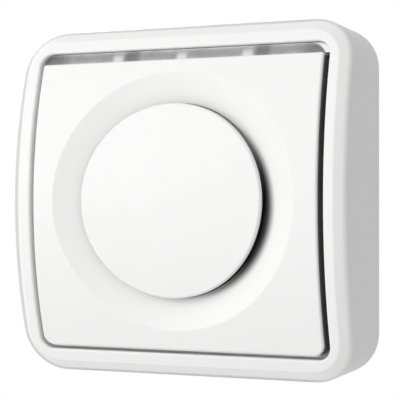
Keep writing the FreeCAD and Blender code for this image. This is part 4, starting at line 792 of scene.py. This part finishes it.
# %% The tamper spring
SPRING_WIRE, SPRING_TURNS = 0.2 * MM, 3.0
low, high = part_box("tamper_spring")
spring = grown("tamper_coil", wound,
               [((low.x + high.x) / 2, high.y - SPRING_WIRE, (low.z + high.z) / 2)],
               "unit", "spring_steel", Turns=SPRING_TURNS, Turn=TOWARDS_FRONT,
               Coil_radius=(high.x - low.x) / 2 - SPRING_WIRE,
               Length=high.y - low.y - 2 * SPRING_WIRE, Wire_radius=SPRING_WIRE)
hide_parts("tamper_spring")

# %% [markdown]
# The choke is a ferrite core wound with copper. The CAD model has the core, and the winding
# lies close round it in one layer.

# %% The choke's winding
WINDING_WIRE, WINDING_TURNS = 0.21 * MM, 14.0
WINDING_RADIUS, WINDING_LENGTH = 5.0 * MM, 6.0 * MM
WINDING_START = 1.5 * MM
low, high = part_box("boost_coil")
middle = (low + high) / 2
grown("choke_winding", wound, [(middle.x, high.y - WINDING_START, middle.z)], "unit",
      "copper_wire", Turns=WINDING_TURNS, Turn=TOWARDS_FRONT, Coil_radius=WINDING_RADIUS,
      Length=WINDING_LENGTH, Wire_radius=WINDING_WIRE)

# %% [markdown]
# Two small things repeat on the circuit boards. Solder stands as a low cone round each pin, and
# little chip parts lie in rows. One tree puts a cone on each point, the other a block, and the
# points are the places of the pins and chips. Each cone or block has only a few faces, because
# there are many of them.

# %% The trees for solder and for chips
CONE_SIDES = 14


def cone(tree, sizes):
    """A low cone of solder round a pin."""
    return add(tree, "GeometryNodeMeshCone", {
        "Vertices": CONE_SIDES, "Radius Top": sizes["Pin radius"],
        "Radius Bottom": sizes["Foot radius"], "Depth": sizes["Height"]}).outputs[0]


def block(tree, sizes):
    """The body of a chip part."""
    return add(tree, "GeometryNodeMeshCube", {"Size": sizes["Size"]}).outputs[0]


solder = standing_on_points("Solder", [
    ("Foot radius", FLOAT, 0.0009), ("Pin radius", FLOAT, 0.0003), ("Height", FLOAT, 0.0007)],
    cone)
chips = standing_on_points("Chips", [("Size", VECTOR, (0.0016, 0.0005, 0.0008))], block)

# %% [markdown]
# The solder is on the back of the main board, behind the pieces whose pins go through it. The
# capacitor and the choke have two pins side by side, and the tamper switch has two beside its
# plunger, clear of the plunger's way. The radio shield has a row of tabs down each side.

# %% Solder on the main board
PINS = {  # from the middle of each piece to its pins, along X and Z in millimetres
    "storage_capacitor": ((-2.5, 0), (2.5, 0)),
    "boost_coil": ((-3, 0), (3, 0)),
    "tamper_switch": ((2.5, -5), (2.5, 5)),
}
SHIELD_TABS = 5
board_low, board_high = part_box("main_board")
pins = []
for name, steps in PINS.items():
    low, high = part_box(name)
    middle = (low + high) / 2
    pins += [(middle.x + x * MM, board_high.y, middle.z + z * MM) for x, z in steps]
low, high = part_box("radio_shield")
pins += [(x, board_high.y, low.z + n * (high.z - low.z) / (SHIELD_TABS - 1))
         for x in (low.x, high.x) for n in range(SHIELD_TABS)]
grown("solder_joints", solder, pins, "unit", "shield_tin", Turn=TOWARDS_BACK,
      Foot_radius=0.9 * MM, Pin_radius=0.3 * MM, Height=0.7 * MM)

# %% [markdown]
# Chip parts are the resistors and capacitors that a chip needs round it. They stand in rows
# beside the controller on the front of the main board, and three lie behind each light source,
# on the back of its board.

# %% Chip parts on both boards
CHIP = Vector((1.6, 0.5, 0.8)) * MM
COLUMNS, COLUMN_STEP = 5, 3 * MM
ROWS, ROW_STEP, FIRST_ROW = 4, 2.6 * MM, 1 * MM
low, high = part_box("controller_chip")
spots = [(high.x + (i + 1) * COLUMN_STEP, board_low.y - CHIP.y / 2,
          low.z + FIRST_ROW + k * ROW_STEP) for i in range(COLUMNS) for k in range(ROWS)]
light_board_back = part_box("strobe_board")[1].y
for n in (1, 2, 3):
    low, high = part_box(f"strobe_led_{n}")
    spots += [((low.x + high.x) / 2 + i * COLUMN_STEP, light_board_back + CHIP.y / 2,
               (low.z + high.z) / 2) for i in (-1, 0, 1)]
grown("chip_parts", chips, spots, "unit", "chip_black", Size=CHIP)

# %% [markdown]
# The script ends by importing json once more.

# %% A last import
import json
